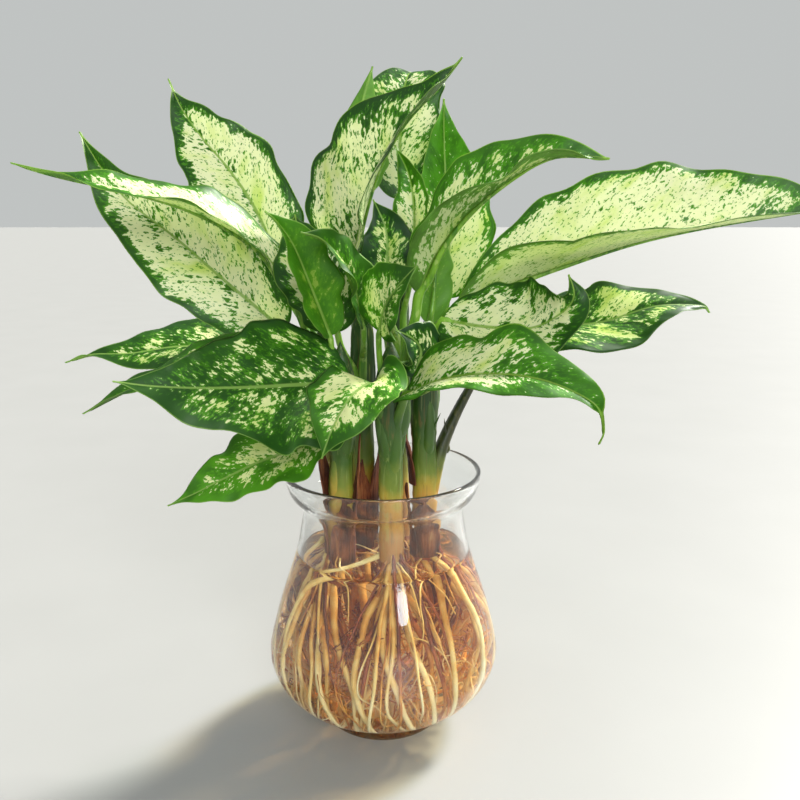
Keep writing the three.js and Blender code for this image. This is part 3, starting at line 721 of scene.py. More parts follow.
# %% The leaves
LEAVES = {
    "left_long": {
        "tone": "pale", "cane": "back_left", "joins": 210, "stalk": 2.8, "half": 23, "peak": 0.4,
        "rise": 0.45, "blunt": 0.68, "tail": 0.06, "wave": 3, "cream": 0.04, "fresh": 0.5, "green_tip": 0,
        "folds": ((26, 26), (26, 26)),
        "face": (0.1, -0.5, 1), "face_tip": (0, -0.3, 1),
        "rib": [(-52, 24, 251), (-70, 15, 280), (-99, -5, 300), (-132, -20, 311),
            (-161, -26, 317), (-186, -28, 324)],
    },
    "left_broad": {
        "tone": "pale", "cane": "back_left", "joins": 201, "stalk": 3, "half": 30, "peak": 0.38,
        "rise": 0.45, "blunt": 0.68, "tail": 0, "wave": 3, "cream": 0.05, "fresh": 0.3, "green_tip": 0,
        "folds": ((18, 18), (42, 42)),
        "face": (-0.25, -1, 0.75),
        "rib": [(-59, 30, 231), (-90, 29, 258), (-120, 29, 285), (-146, 28, 306), (-160, 28, 324),
            (-173, 32, 345)],
    },
    "inner_left": {
        "tone": "pale", "cane": "middle", "joins": 203, "stalk": 2.4, "half": 21, "peak": 0.45,
        "rise": 0.45, "blunt": 0.68, "tail": 0, "wave": 3, "cream": -0.02, "fresh": 0.2, "green_tip": 0,
        "folds": ((12, 12), (12, 12)),
        "face": (-0.1, -1, 0.4),
        "rib": [(-25, -1, 234), (-32, -1, 257), (-41, 2, 273), (-46, 10, 286), (-50, 22, 299)],
    },
    "upper_left": {
        "tone": "pale", "cane": "middle", "joins": 196, "stalk": 2.8, "half": 28, "peak": 0.45,
        "rise": 0.45, "blunt": 0.5, "tail": 0.05, "wave": 3.5, "cream": 0.06, "fresh": 0.15, "green_tip": 0,
        "folds": ((18, 18), (18, 18)),
        "face": (-0.1, -1, 0.45),
        "rib": [(-63, 46, 267), (-77, 54, 300), (-94, 62, 325), (-112, 71, 345), (-125, 76, 363),
            (-133, 78, 381)],
    },
    "top_arched": {
        "tone": "pale", "cane": "middle", "joins": 218, "stalk": 2.8, "half": 45, "peak": 0.28,
        "rise": 0.45, "blunt": 0.65, "tail": 0.03, "wave": 3.5, "cream": 0, "fresh": 0.05, "green_tip": 0.12,
        "folds": ((5, 5), (60, 68)),
        "face": (-0.5, -1, 0.3),
        "rib": [(-18, 28, 271), (-10, 22, 301), (-1, 13, 325), (13, 6, 347), (30, 4, 364),
            (43, 6, 380)],
    },
    "top_spike": {
        "tone": "green", "cane": "back", "joins": 228, "stalk": 2, "half": 19, "peak": 0.3,
        "rise": 0.45, "blunt": 0.68, "tail": 0, "wave": 0, "cream": 0, "fresh": 0.8, "green_tip": 0,
        "folds": ((30, 30), (30, 30)),
        "face": (0.3, 1, 0.2),
        "rib": [(-20, 40, 308), (-17, 44, 334), (-12, 50, 362), (-6, 56, 384)],
    },
    "top_rounded": {
        "tone": "pale", "cane": "back", "joins": 226, "stalk": 2.4, "half": 25, "peak": 0.6,
        "rise": 0.45, "blunt": 0.68, "tail": 0, "wave": 2, "cream": 0.02, "fresh": 0.2, "green_tip": 0.1,
        "folds": ((14, 14), (14, 14)),
        "face": (0, -1, 0.2), "face_tip": (0, -0.3, 1),
        "rib": [(10, 54, 308), (10, 62, 343), (12, 70, 370), (15, 84, 384), (18, 105, 389)],
    },
    "back_upright": {
        "tone": "pale", "cane": "back", "joins": 214, "stalk": 2.6, "half": 27, "peak": 0.42,
        "rise": 0.45, "blunt": 0.68, "tail": 0, "wave": 2, "cream": 0.12, "fresh": 0.95, "green_tip": 0.6,
        "folds": ((58, 58), (14, 14)),
        "face": (-0.1, -1, 0.2),
        "rib": [(38, 32, 250), (39, 40, 284), (37, 46, 318), (36, 51, 347), (36, 54, 366)],
    },
    "inner_narrow": {
        "tone": "pale", "cane": "back", "joins": 234, "stalk": 1.8, "half": 12, "peak": 0.4,
        "rise": 0.45, "blunt": 0.68, "tail": 0, "wave": 2, "cream": 0.1, "fresh": 0.5, "green_tip": 0.1,
        "folds": ((35, 35), (35, 35)),
        "face": (-0.3, -1, 0.2),
        "rib": [(17, 16, 272), (18, 18, 298), (15, 22, 320), (7, 26, 337)],
    },
    "right_arched": {
        "tone": "pale", "cane": "front", "joins": 198, "stalk": 3.4, "half": 27, "peak": 0.45,
        "rise": 0.8, "blunt": 0.68, "tail": 0, "wave": 3, "cream": -0.03, "fresh": 0.6, "green_tip": 0.12,
        "folds": ((30, 30), (92, 62, 50, 44)),
        "face": (-0.6, -0.6, 1), "face_tip": (0, -0.8, 1),
        "rib": [(20, -27, 258), (27, -35, 277), (40, -44, 296), (58, -55, 312), (80, -64, 324),
            (106, -66, 323)],
    },
    "right_long": {
        "tone": "pale", "cane": "right", "joins": 203, "stalk": 3.2, "half": 45, "peak": 0.42,
        "rise": 1.3, "blunt": 0.3, "tail": 0, "wave": 3.5, "cream": 0.08, "fresh": 0.45, "green_tip": 0,
        "folds": ((15, 15), (140, 82, 70, 64)),
        "face": (-0.3, -0.9, 0.55),
        "rib": [(38, 7, 245), (66, 6, 258), (98, 5, 270), (141, 2, 284), (184, 0, 293), (244, 2, 302)],
    },
    "right_low": {
        "tone": "dark", "cane": "right", "joins": 150, "stalk": 3, "half": 29, "peak": 0.42,
        "rise": 0.45, "blunt": 0.68, "tail": 0, "wave": 2, "cream": 0.03, "fresh": 0.1, "green_tip": 0,
        "folds": ((14, 14), (14, 14)),
        "face": (0.1, -0.6, 1),
        "rib": [(66, 12, 228), (90, 5, 236), (122, 0, 240), (152, 0, 249), (178, 2, 249),
            (184, 2, 245)],
    },
    "right_curled": {
        "tone": "pale", "cane": "right", "joins": 182, "stalk": 2.6, "half": 28, "peak": 0.5,
        "rise": 0.45, "blunt": 0.68, "tail": 0, "wave": 2, "cream": 0.02, "fresh": 0.15, "green_tip": 0,
        "folds": ((20, 20), (20, 20)),
        "face": (0.1, -0.9, 0.7),
        "rib": [(33, -16, 243), (55, -29, 241), (76, -41, 242), (89, -50, 250), (95, -54, 259),
            (92, -54, 270)],
    },
    "front_right": {
        "tone": "pale", "cane": "front", "joins": 178, "stalk": 3, "half": 25, "peak": 0.36,
        "rise": 0.45, "blunt": 0.32, "tail": 0.12, "wave": 3, "cream": -0.02, "fresh": 0.6, "green_tip": 0.15,
        "folds": ((28, 28), (28, 28)),
        "face": (-0.2, -0.6, 1),
        "rib": [(13, -36, 206), (30, -56, 218), (52, -76, 225), (75, -92, 225), (95, -102, 217),
            (100, -104, 206), (98, -104, 198)],
    },
    "front_drooping": {
        "tone": "dark", "cane": "front", "joins": 184, "stalk": 2.8, "half": 21, "peak": 0.55,
        "rise": 0.45, "blunt": 0.68, "tail": 0, "wave": 2.5, "cream": 0.1, "fresh": 0.5, "green_tip": 0,
        "folds": ((15, 15), (15, 15)),
        "face": (-0.3, -1, 0.7),
        "rib": [(-3, -34, 208), (-4, -56, 217), (-13, -74, 214), (-21, -84, 202), (-27, -86, 186)],
    },
    "front_left_broad": {
        "tone": "dark", "cane": "front_left", "joins": 184, "stalk": 3, "half": 38, "peak": 0.27,
        "rise": 0.45, "blunt": 0.68, "tail": 0, "wave": 3, "cream": -0.05, "fresh": 0.2, "green_tip": 0,
        "folds": ((8, 8), (8, 8)),
        "face": (0.05, -1, 0.75),
        "rib": [(-16, -24, 210), (-42, -38, 212), (-65, -54, 214), (-88, -70, 217),
            (-107, -80, 220), (-123, -84, 223)],
    },
    "inner_right": {
        "tone": "dark", "cane": "front", "joins": 184, "stalk": 1.8, "half": 14, "peak": 0.5,
        "rise": 0.45, "blunt": 0.68, "tail": 0, "wave": 1, "cream": 0.04, "fresh": 0, "green_tip": 0,
        "folds": ((20, 20), (20, 20)),
        "face": (0.5, -1, 0.5),
        "rib": [(18, -27, 214), (21, -32, 228), (17, -38, 236), (8, -42, 241)],
    },
    "left_thin": {
        "tone": "dark", "cane": "front_left", "joins": 190, "stalk": 2.2, "half": 16, "peak": 0.4,
        "rise": 0.45, "blunt": 0.68, "tail": 0, "wave": 1.5, "cream": 0, "fresh": 0.5, "green_tip": 0,
        "folds": ((20, 20), (20, 20)),
        "face": (0, -0.2, 1),
        "rib": [(-52, -2, 236), (-80, -14, 228), (-110, -22, 217), (-138, -26, 206), (-161, -28, 194)],
    },
    "left_low": {
        "tone": "dark", "cane": "back_left", "joins": 166, "stalk": 2.4, "half": 26, "peak": 0.42,
        "rise": 0.45, "blunt": 0.68, "tail": 0.07, "wave": 2, "cream": -0.01, "fresh": 0.2, "green_tip": 0,
        "folds": ((12, 12), (12, 12)),
        "face": (0, -0.6, 1),
        "rib": [(-52, 44, 211), (-85, 29, 221), (-118, 16, 224), (-145, 10, 221), (-168, 10, 220),
            (-185, 12, 215)],
    },
    "lowest_left": {
        "tone": "dark", "cane": "front_left", "joins": 158, "stalk": 2.6, "half": 22, "peak": 0.4,
        "rise": 0.45, "blunt": 0.68, "tail": 0, "wave": 2.5, "cream": 0.02, "fresh": 1, "green_tip": 0,
        "folds": ((12, 12), (12, 12)),
        "face": (-0.1, -0.75, 1),
        "rib": [(-30, -20, 182), (-45, -27, 175), (-64, -40, 171), (-83, -50, 164),
            (-98, -54, 157), (-110, -56, 152)],
    },
    "furled_green": {
        "tone": "green", "cane": "front_left", "joins": 198, "stalk": 2, "half": 17, "peak": 0.5,
        "rise": 0.45, "blunt": 0.68, "tail": 0, "wave": 2, "cream": 0.03, "fresh": 0.5, "green_tip": 0,
        "folds": ((45, 45), (45, 45)),
        "face": (0.5, -0.9, 0.4),
        "rib": [(-28, -15, 234), (-37, -24, 262), (-44, -33, 283), (-51, -41, 295), (-56, -45, 300)],
    },
    "furled_dark": {
        "tone": "dark", "cane": "middle", "joins": 214, "stalk": 2, "half": 14, "peak": 0.5,
        "rise": 0.45, "blunt": 0.68, "tail": 0, "wave": 2, "cream": -0.06, "fresh": 0.4, "green_tip": 0,
        "folds": ((30, 30), (30, 30)),
        "face": (0.6, -0.7, 0.7),
        "rib": [(-10, -10, 238), (-14, -19, 260), (-19, -30, 275), (-28, -42, 286), (-38, -51, 290)],
    },
    "inner_upright": {
        "tone": "dark", "cane": "back", "joins": 222, "stalk": 2.6, "half": 15, "peak": 0.5,
        "rise": 0.45, "blunt": 0.68, "tail": 0, "wave": 1, "cream": 0.07, "fresh": 0, "green_tip": 0,
        "folds": ((20, 20), (20, 20)),
        "face": (0.1, -1, 0.3),
        "rib": [(3, 6, 252), (3, 8, 273), (2, 10, 291), (-5, 14, 307)],
    },
    "inner_curled": {
        "tone": "dark", "cane": "front", "joins": 190, "stalk": 2, "half": 20.5, "peak": 0.45,
        "rise": 0.45, "blunt": 0.68, "tail": 0, "wave": 1, "cream": 0.08, "fresh": 0.4, "green_tip": 0.1,
        "folds": ((20, 20), (20, 20)),
        "face": (-0.3, -1, 0.8),
        "rib": [(-1, -27, 238), (2, -37, 252), (9, -47, 264), (18, -55, 274)],
    },
    "young_sheath": {
        "tone": "green", "cane": "back", "joins": 204, "stalk": 2.8, "half": 11, "peak": 0.45,
        "rise": 0.45, "blunt": 0.68, "tail": 0, "wave": 0, "cream": 0, "fresh": 0.8, "green_tip": 0,
        "folds": ((20, 20), (20, 20)),
        "face": (0, 1, 0.1),
        "rib": [(27, 11, 238), (29, 13, 252), (31, 15, 273), (35, 16, 293)],
    },
}

# %% [markdown]
# The blade is a grid rolled flat: across its upper side from the left margin to the right one, then back
# under it. The faces of the second half get the underside's surface. Rows are closer together at both
# ends, where the outline turns fastest. The stalk runs on under the blade as a raised midrib, so those
# two are made as one tube.

# %% Bend a blade
BLADE_COLUMNS, BLADE_ROWS = 28, 72
BLADE_THICK = 0.75
CUP = -15
WAVES = 2.5
TIP_HALF = 0.5
GROOVE = 0.5
TENTH = 0.01


def outline(t, leaf):
    """Half the width at t of the length, as a share of its widest."""
    t, peak = min(t / (1 - leaf["tail"]), 1), leaf["peak"]
    if t < peak:
        return max(0.0, 1 - ((peak - t) / peak) ** 2.2) ** leaf["rise"]
    return (0.5 + 0.5 * math.cos(math.pi * (t - peak) / (1 - peak))) ** leaf["blunt"]


def stepped(values, t):
    """The value at t of a row of values spread evenly from 0 to 1."""
    at = min(max(t, 0), 1) * (len(values) - 1)
    k = min(int(at), len(values) - 2)
    return lerp(values[k], values[k + 1], at - k)


def even_ends(u):
    return lerp(u, u * u * (3 - 2 * u), 0.7)


def section(leaf, rib, t):
    """Where the midrib is at t, which ways are up and sideways there, and half the width."""
    base, tip = Vector(leaf["face"]).normalized(), Vector(leaf.get("face_tip", leaf["face"])).normalized()
    up, side = across(rib.along(t), base.lerp(tip, t))
    half = leaf["half"] * outline(t, leaf)
    return rib.at(t), up, side, max(TIP_HALF, half)


def ripple(t, out, seed):
    """How much further out the margin stands than its smooth outline, as a share of the half width."""
    swell = math.sin(2 * math.pi * 3.1 * t + 1.7 * out + 0.9 * seed) * 0.05
    return (swell + noise.noise(Vector((t * 9, out, seed * 2.3))) * 0.14) * ease(0, 0.15, t) * ease(1, 0.8, t)


def blade(leaf, rib, seed):
    sections = [section(leaf, rib, even_ends(k / BLADE_ROWS)) for k in range(BLADE_ROWS + 1)]

    def read(u, v):
        """Across from -1 to 1, along from 0 to 1, and the section there. Both ends close to a point."""
        at, up, side, half = sections[round(v * BLADE_ROWS)]
        return 1 - 2 * abs(2 * u - 1), even_ends(v), (at, up, side, half if 0 < v < 1 else 0)

    def place(u, v):
        w, t, (at, up, side, half) = read(u, v)
        out, far = (1 if w > 0 else -1), abs(w)
        angle = math.radians(stepped(leaf["folds"][w > 0], t) + CUP * far * 0.5)
        half *= 1 + far * ripple(t, out, seed)
        swing = math.sqrt(math.sin(math.pi * t)) if 0 < v < 1 else 0
        phase = 1.9 if out > 0 else 0
        lift = leaf["wave"] * math.sin(2 * math.pi * WAVES * t + phase) * w * w
        lift += leaf["wave"] * 0.22 * math.sin(2 * math.pi * (6.3 * t + 0.13 * seed) + 2 * phase) * far**3
        lift += noise.noise(Vector((t * 7, w * 1.3, seed))) * 1.5 * far
        lift -= GROOVE * math.exp(-((w * half / 1.6) ** 2)) * min(half / 8, 1)
        reach = far * half
        spot = at + side * (out * reach * math.cos(angle)) + up * (reach * math.sin(angle) + lift * swing)
        if u > 0.5 and half:
            thick = BLADE_THICK * (1 - 0.8 * far**6)
            spot -= (up * math.cos(angle) - side * (out * math.sin(angle))) * thick
        return spot

    def from_midrib(u, v):
        w, t, (_, _, _, half) = read(u, v)
        return w * half * TENTH, t * rib.length * TENTH

    def from_margin(u, v):
        w, t, (_, _, _, half) = read(u, v)
        return (1 - abs(w)) * half * TENTH, t

    maps = {
        "leaf": from_midrib,
        "margin": from_margin,
        "lot": lambda u, v: (seed * 11.3, leaf["cream"]),
        "mood": lambda u, v: (leaf["fresh"], leaf["green_tip"]),
    }
    return bent_grid(2 * BLADE_COLUMNS, BLADE_ROWS, place, maps, rolled=True, part=lambda u, v: int(u > 0.5))


# %% Grow its stalk
UP = Vector((0, 0, 1))


def bezier(a, b, c, d, u):
    return a * (1 - u) ** 3 + b * (3 * u * (1 - u) ** 2) + c * (3 * u * u * (1 - u)) + d * u**3


def stalk(leaf, rib):
    """The stalk and the raised midrib. Its foot lies in the cane, and comes out of it by and by."""
    cane, joins, thick = CANES[leaf["cane"]], leaf["joins"], leaf["stalk"]
    start, base = cane_axis(cane, joins), rib.at(0)
    out = Vector((base.x - start.x, base.y - start.y, 0)).normalized()
    reach = (base - start).length
    first = start.lerp(Vector((base.x, base.y, start.z)), 0.25) + UP * (reach * 0.3)
    second = base - rib.along(0).lerp(UP, 0.6).normalized() * (reach * 0.4)
    sunk = [(30, 2.4), (16, 1.5), (6, 0.9)]
    dots = [cane_axis(cane, joins - low) + out * (cane_girth(cane, joins - low) - deep * thick) for low, deep in sunk]
    edge = start + out * (cane_girth(cane, joins) - 0.5 * thick)
    dots += [bezier(edge, first, second, base, k / 7) for k in range(1, 8)]
    share = Line(dots).length

    def keel(t):
        return lerp(thick * 0.8, 0.3, t**0.5)

    for k in range(1, 13):
        t = 0.97 * k / 12
        at, up, _, _ = section(leaf, rib, t)
        dots.append(at - up * (keel(t) + GROOVE + 0.15))
    line = Line(dots)
    share /= line.length

    def radius(v):
        ends = math.sqrt(min(v / 0.01, 1)) * math.sqrt(max(0.0, min((1 - v) / 0.01, 1)))
        if v < share:
            return thick * lerp(1.65, 0.8, ease(0.1, 0.9, v / share)) * ease(-0.1, 0.2, v / share) * ends
        return keel(min((v - share) / (1 - share), 1)) * ends

    def channel(angle, v):
        turn = (angle - math.pi / 2 + math.pi) % (2 * math.pi) - math.pi
        return 1 - 0.26 * math.exp(-((turn / 0.5) ** 2)) * (1 - ease(share * 0.8, share, v))

    inward = Vector((start.x - base.x, start.y - base.y, reach * 0.3))
    return tube(line, radius, 14, 72, inward, bulge=channel)


def spur(foot, tip, thick):
    """A dry point, left by a sheath that tore off."""
    line = Line([foot, foot.lerp(tip, 0.5) + UP, tip])
    return tube(line, lambda v: thick * max(0.02, 1 - v) ** 0.8 * math.sqrt(min(v / 0.02, 1)), 10, 10, UP.orthogonal())


# %% Make the leaves
SPURS = {"right_low": [((38, 5, 162), (35.5, 2, 184), 1.9)], "right_curled": [((28, -6, 176), (33, -9, 190), 1.2)]}
for seed, (name, leaf) in enumerate(LEAVES.items()):
    rib = Line(leaf["rib"])
    points = [spur(Vector(foot), Vector(tip), thick) for foot, tip, thick in SPURS.get(name, [])]
    leaf_body = joined([blade(leaf, rib, seed), joined([stalk(leaf, rib), *points], material=2)])
    top, under = blades[leaf["tone"]]
    skin = old_stalk_skin if name == "right_low" else stalk_skin
    finish_piece("leaf_" + name, leaf_body, [top, under, skin])
print("leaves:", len(LEAVES))

# %% [markdown]
# ## The roots
# Bare roots fill the vase. Thick cream ones leave each cane's foot, run out to the glass, down along it
# and in over the floor. Older ones are tan and rust-brown. Pale ones cross near the water's surface, and
# others lie on the floor. The thick ones carry fine side roots. Each is a tube along a line that noise has made to
# wander, kept inside the glass. A number on each root, its tone, picks the colour between cream and rust.

# %% The skin of a root
def make_root_skin():
    material, tree, skin, _ = new_material("root_skin")
    tone = uv_parts(tree, "lot")[0]
    place = object_place(tree)
    patches = grain(tree, place, 130, 3)
    z = add_node(tree, "ShaderNodeSeparateXYZ", {0: place}).outputs[2]
    # The colour shifts with height: paler towards the floor, as painted light, and browner higher up, as painted shade
    # under the crowns.
    shift = sums(tree, "MULTIPLY_ADD", sums(tree, "SUBTRACT", patches, 0.5), 0.8, level(tree, z, 0.022, 0.08, -0.26, 0.2))
    colour = ramp(tree, sums(tree, "ADD", tone, shift), (
        (0.0, (0.95, 0.86, 0.56)), (0.22, (0.88, 0.68, 0.28)), (0.45, (0.74, 0.42, 0.10)),
        (0.65, (0.46, 0.17, 0.030)), (0.85, (0.25, 0.045, 0.014)), (1.0, (0.10, 0.015, 0.008)),
    ))
    feed(tree, skin, Base_Color=colour, Roughness=0.5, Normal=bumped(tree, patches, 0.0006, 0.5))
    return material


# %% [markdown]
# The thick roots follow the solid's own routes. Each crown keeps to its sector of the vase. A short row
# of numbers, the same each time, spreads the routes.

# %% Routes of the thick roots
ROOTS_EACH = 6
ROOT_THICK = (1.9, 0.9)
CROWN_HEIGHT = 22


def draws(state):
    while True:
        state = state * 16807 % 2147483647
        yield state / 2147483647


bearings = sorted((math.atan2(cane["foot"][1], cane["foot"][0]), name) for name, cane in CANES.items())


def sector(name):
    at = [b for _, b in bearings].index(name)
    here, count = bearings[at][0], len(bearings)
    before = bearings[at - 1][0] - (2 * math.pi if at == 0 else 0)
    after = bearings[(at + 1) % count][0] + (2 * math.pi if at == count - 1 else 0)
    return (before + here) / 2, here, (here + after) / 2


def routes_of(name, cane, row):
    low, here, high = sector(name)
    crown_reach = math.hypot(*cane["foot"])

    def point(reach, bearing, z):
        reach = min(reach, inner_radius(z) - 3)
        keep = min(0.45, 5 / max(reach, 12))
        bearing = min(max(bearing, low + keep), high - keep)
        return Vector((reach * math.cos(bearing), reach * math.sin(bearing), z))

    for k in range(ROOTS_EACH):
        bearing = lerp(low, high, (k + 0.5) / ROOTS_EACH)
        start = CANE_FOOT - 5 - 14 * next(row)
        outer = lerp(24, 60, next(row))
        yield [
            point(crown_reach, here, start),
            point(lerp(crown_reach, outer, 0.55), lerp(here, bearing, 0.6), lerp(start, 55, 0.45)),
            point(outer, bearing, 50 + 10 * next(row)),
            point(outer - 4 - 8 * next(row), bearing + 0.2 * (next(row) - 0.5), 27 + 6 * next(row)),
            point(outer * 0.6, bearing + 0.5 * (next(row) - 0.5), 15 + 3 * next(row)),
        ]


# %% Grow roots and side roots
def kept_inside(p, room, free):
    """Moves a point inside the glass and under the water, with some room to spare. Unless it is free, it
    also stays in a cone, so that the water is clear at the sides near its surface."""
    z = min(max(p.z, 12 + room), WATER_LEVEL + 12)
    reach, most = math.hypot(p.x, p.y), inner_radius(z) - room
    if not free:
        most = min(most, lerp(70, 35, ease(52, 98, z)))
    share = min(1, most / reach) if reach else 1
    return Vector((p.x * share, p.y * share, z))


def wandering(points, sway, steps, seed, room, free=False):
    """A line through the points that noise pushes aside, least at its start."""
    line, dots = Line(points), []
    for k in range(steps + 1):
        v = k / steps
        push = noise.noise_vector(Vector((v * line.length / 26, seed * 3.7, 0))) * (sway * min(1, 4 * v))
        dots.append(kept_inside(line.at(v) + push, room, free))
    return Line(dots)


def root(line, thick, tone, seed, sides=10, steps=48):
    def radius(v):
        lumps = 1 + 0.16 * noise.noise(Vector((v * line.length / 5, seed, 1)))
        return lerp(*thick, v) * lumps * math.sqrt(max(0.0, min(1, (1 - v) / 0.04))) * min(1, v / 0.01)

    return tube(line, radius, sides, steps, maps={"lot": lambda u, v: (tone + 0.12 * v, seed)})


def side_root(chance, line, tone, length, thick, seed):
    """A fine root that leaves another somewhere along it, turns down and curls."""
    start = line.at(chance.uniform(0.16, 0.95))
    turn = chance.uniform(0, 2 * math.pi)
    way = Vector((math.cos(turn), math.sin(turn), chance.uniform(-1.1, 0.1))).normalized()
    bend = Vector((chance.uniform(-1, 1), chance.uniform(-1, 1), chance.uniform(-1.4, 0.1))).normalized()
    points = [start, start + way * (length * 0.35), start + way * (length * 0.6) + bend * (length * 0.3)]
    points.append(points[-1] + bend * (length * 0.4))
    return root(wandering(points, 1.6, 12, seed, 0.8), (thick, thick * 0.5), tone, seed, 5, 14)


def tangle_root(chance, centre, seed):
    """One of the short dark threads that lie in a knot between the thick roots."""
    points = [centre + Vector([chance.gauss(0, 7) for _ in range(3)]) for _ in range(4)]
    return root(wandering(points, 5, 20, seed, 1.5), (0.4, 0.25), chance.uniform(0.55, 0.8), seed, 5, 24)


def crown_body(cane):
    x, y = cane["foot"]
    r = cane["thick"][0]
    line = Line([(x, y, CANE_FOOT + 4), (x, y, CANE_FOOT - 6), (x, y, CANE_FOOT - CROWN_HEIGHT)])

    def lumps(angle, v):
        return 1 + 0.14 * noise.noise(Vector((math.cos(angle) * 3.4 + x, math.sin(angle) * 3.4, v * 2)))

    def radius(v):
        flare = 0.96 + 0.14 * ease(0, 0.3, v) - 0.75 * ease(0.35, 1, v)
        return r * flare * math.sqrt(min(1, (1 - v) / 0.15)) * min(1, v / 0.01)

    return tube(line, radius, 36, 24, maps={"lot": lambda u, v: (0.62, 0)}, bulge=lumps)


# %% [markdown]
# A few roots are so thick that they are known one by one. Their routes are listed, as seen
# through the glass. The others are drawn by chance, with the same seeds each time.

# %% Fill the vase with roots
KNOWN = {
    "front_left": [
        [(-26, -12, 92), (-32, -34, 64), (-32, -44, 40), (-18, -46, 15)],
        [(-28, -8, 96), (-46, -24, 72), (-54, -28, 46), (-42, -34, 18)],
        [(-24, -14, 90), (-22, -36, 62), (-14, -48, 40), (-12, -44, 14)],
    ],
    "back_left": [
        [(-32, 12, 94), (-52, -2, 70), (-58, -12, 46), (-46, -24, 18)],
        [(-36, 12, 108), (-44, 4, 96), (-54, 0, 70), (-60, 4, 46)],
    ],
    "middle": [[(-10, 8, 92), (-8, -20, 66), (-4, -36, 40), (-30, -40, 15)]],
    "front": [
        [(8, -20, 90), (15, -36, 64), (25, -46, 40), (28, -42, 15)],
        [(3, -20, 88), (1, -40, 60), (9, -50, 38), (20, -46, 15)],
        [(2, -18, 92), (-10, -34, 70), (-14, -50, 44), (-2, -48, 16)],
        [(0, -12, 106), (-20, -24, 101), (-42, -26, 90), (-52, -26, 66), (-52, -28, 40)],
    ],
    "right": [
        [(27, -2, 98), (44, -20, 82), (56, -27, 58), (51, -34, 34), (33, -40, 17), (12, -40, 13)],
        [(24, -4, 92), (34, -30, 66), (38, -40, 42), (36, -42, 18)],
    ],
    "back": [[(12, 24, 94), (36, 16, 70), (57, 4, 48), (50, -14, 20)]],
}
SIDE_ROOTS, LONG_ROOTS, CROSS_ROOTS, FLOOR_ROOTS, TANGLE_ROOTS = 6, 20, 3, 8, 12
TANGLES = {
    "front_left": [(-14, -34, 60), (-20, -38, 40)], "back_left": [(-38, 8, 52)], "middle": [(-10, 22, 50)],
    "front": [(4, -38, 46), (12, -34, 34)], "right": [(36, -22, 52)], "back": [(24, 24, 50)],
}
root_skin = make_root_skin()
row = draws(11)


def level_way(bearing):
    return Vector((math.cos(bearing), math.sin(bearing), 0))


def long_route(chance, foot, low, high):
    """From the side of the cane's foot, out and down, then in over the floor."""
    bearing, reach = chance.uniform(low, high), chance.uniform(20, 62)
    way = level_way(bearing)
    start = foot + way * 6.5 + UP * chance.uniform(-16, 11)
    knee = way * reach + UP * chance.uniform(22, 46)
    end = way * (reach * chance.uniform(0.2, 0.7)) + level_way(chance.uniform(0, 6.3)) * 20 + UP * 12
    return [start, start.lerp(knee, 0.5) + way * 5, knee, end]


def cross_route(chance, foot):
    """A pale root that leaves just under the surface and crosses the others on its way out."""
    way = level_way(chance.uniform(0, 2 * math.pi))
    start = foot + way * 4 + UP * chance.uniform(-6, 8)
    size = chance.uniform(28, 60)
    return [start, start + way * size * 0.5 - UP * chance.uniform(2, 10), start + way * size - UP * chance.uniform(14, 34)]


def floor_route(chance, low, high):
    start = level_way(chance.uniform(low, high)) * chance.uniform(15, 46) + UP * chance.uniform(12, 20)
    way = level_way(chance.uniform(0, 2 * math.pi)) * chance.uniform(14, 30)
    return [start - way, start + UP * chance.uniform(-3, 3), start + way]


for number, (name, cane) in enumerate(CANES.items()):
    chance = random.Random(40 + number)
    parts = [crown_body(cane)]
    low, here, high = sector(name)
    foot = Vector((*cane["foot"], CANE_FOOT))
    thick_lines = [wandering(route, 2, 40, number * 31 + k, 3) for k, route in enumerate(routes_of(name, cane, row))]
    known_lines = [wandering(route, 1.5, 40, number * 17 + k, 2.6, True) for k, route in enumerate(KNOWN[name])]
    for k, line in enumerate(known_lines):
        parts.append(root(line, (2.1, 1.2), chance.choice((0.0, 0.08, 0.16)), k))
    for k, line in enumerate(thick_lines):
        parts.append(root(line, ROOT_THICK, chance.choice((0.08, 0.2, 0.35, 0.5)), number * 31 + k))
    for k, line in enumerate(thick_lines + known_lines):
        for j in range(SIDE_ROOTS):
            tone = chance.choice((0.0, 0.05, 0.3, 0.5, 0.7))
            size = chance.uniform(8, 26), chance.uniform(0.22, 0.5)
            parts.append(side_root(chance, line, tone, *size, number * 620 + k * 20 + j))
    for k in range(LONG_ROOTS):
        thick, tone = chance.uniform(0.5, 1.5), chance.choice((0.05, 0.2, 0.4, 0.55, 0.7, 0.8))
        line = wandering(long_route(chance, foot, low, high), 2.4, 36, 500 + number * 40 + k, 1.8)
        parts.append(root(line, (thick, thick * 0.5), tone, k, 8, 40))
    for k in range(CROSS_ROOTS):
        line = wandering(cross_route(chance, foot), 6, 30, 900 + number * 40 + k, 1.4)
        parts.append(root(line, (chance.uniform(0.45, 0.8), 0.3), chance.choice((0.0, 0.1, 0.3)), k, 8, 34))
    for k in range(FLOOR_ROOTS):
        line = wandering(floor_route(chance, low, high), 2.5, 20, 1300 + number * 40 + k, 1.6)
        parts.append(root(line, (chance.uniform(0.7, 1.5), 0.5), chance.choice((0.0, 0.08, 0.2)), k, 8, 26))
    for k, centre in enumerate(TANGLES[name]):
        parts += [tangle_root(chance, Vector(centre), number * 50 + k * 20 + j) for j in range(TANGLE_ROOTS)]
    finish_piece("roots_" + name, joined(parts), [root_skin])
    print("roots of the", name, "cane:", len(parts))

# %% [markdown]
# ## Floor, light and camera
# The vase stands on a plain pale floor. A soft lamp high on the right and behind lights the leaves
# through their blades, and a weak wide one in front fills the shadows. The camera stands a little above
# the leaves, looking down by 12.6 degrees, with the field of view that the photo's outlines fit.

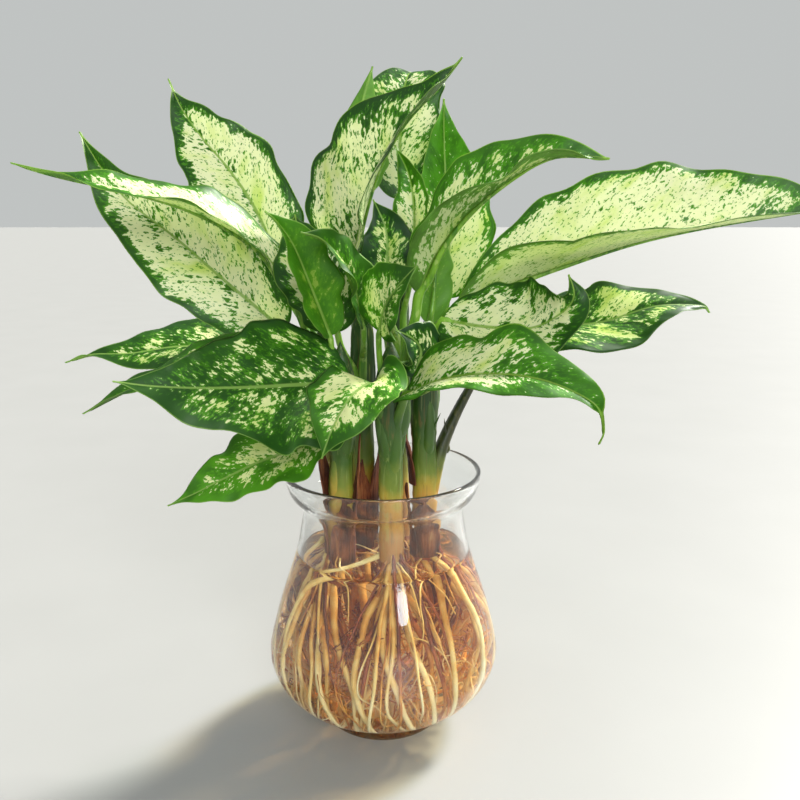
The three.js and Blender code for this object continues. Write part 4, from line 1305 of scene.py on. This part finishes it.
# %% Stage
def make_floor():
    material, tree, skin, _ = new_material("pale_floor")
    specks = grain(tree, object_place(tree), 9, 4)
    colour = blended(tree, specks, (0.31, 0.31, 0.30), (0.34, 0.34, 0.33))
    feed(tree, skin, Base_Color=colour, Roughness=0.45)
    bm = bmesh.new()
    bmesh.ops.create_grid(bm, x_segments=2, y_segments=2, size=40)
    mesh = bpy.data.meshes.new("floor")
    bm.to_mesh(mesh)
    bm.free()
    mesh.materials.append(material)
    floor = bpy.data.objects.new("floor", mesh)
    bpy.context.scene.collection.objects.link(floor)


def make_lamp(name, place, strength, spread, colour, pane=None):
    """Soft light from far away, which falls evenly on the whole floor, or from a pane nearby."""
    lamp = bpy.data.lights.new(name, "AREA" if pane else "SUN")
    lamp.energy, lamp.color = strength, colour
    if pane:
        lamp.shape, lamp.size, lamp.size_y = "ELLIPSE", *pane
    else:
        lamp.angle = math.radians(spread)
    made = bpy.data.objects.new(name, lamp)
    made.location = place
    made.rotation_euler = (Vector((0, 0, 0.2)) - Vector(place)).to_track_quat("-Z", "Y").to_euler()
    bpy.context.scene.collection.objects.link(made)


make_floor()
make_lamp("key_lamp", (0.75, 0.65, 1.15), 7.2, 10, (1, 0.98, 0.93))
make_lamp("fill_lamp", (0.4, -1.25, 0.9), 1.9, 30, (0.97, 0.99, 1))
make_lamp("window", (0.6, -1.42, 0.37), 1.0, 0, (0.85, 0.93, 1), pane=(0.34, 0.14))
world = bpy.data.worlds.new("pale_room")
world.use_nodes = True
world.node_tree.nodes["Background"].inputs["Color"].default_value = (0.80, 0.83, 0.82, 1)
world.node_tree.nodes["Background"].inputs["Strength"].default_value = 0.66
bpy.context.scene.world = world
bpy.context.scene.view_settings.view_transform = "Standard"

# %% Camera
LOOK_DOWN = 12.6
lens = bpy.data.cameras.new("camera")
lens.sensor_width, lens.lens = 36, 36
camera = bpy.data.objects.new("camera", lens)
camera.location = (0.010, -0.4463, 0.295)
camera.rotation_euler = (math.radians(90 - LOOK_DOWN), 0, 0)
bpy.context.scene.collection.objects.link(camera)
bpy.context.scene.camera = camera
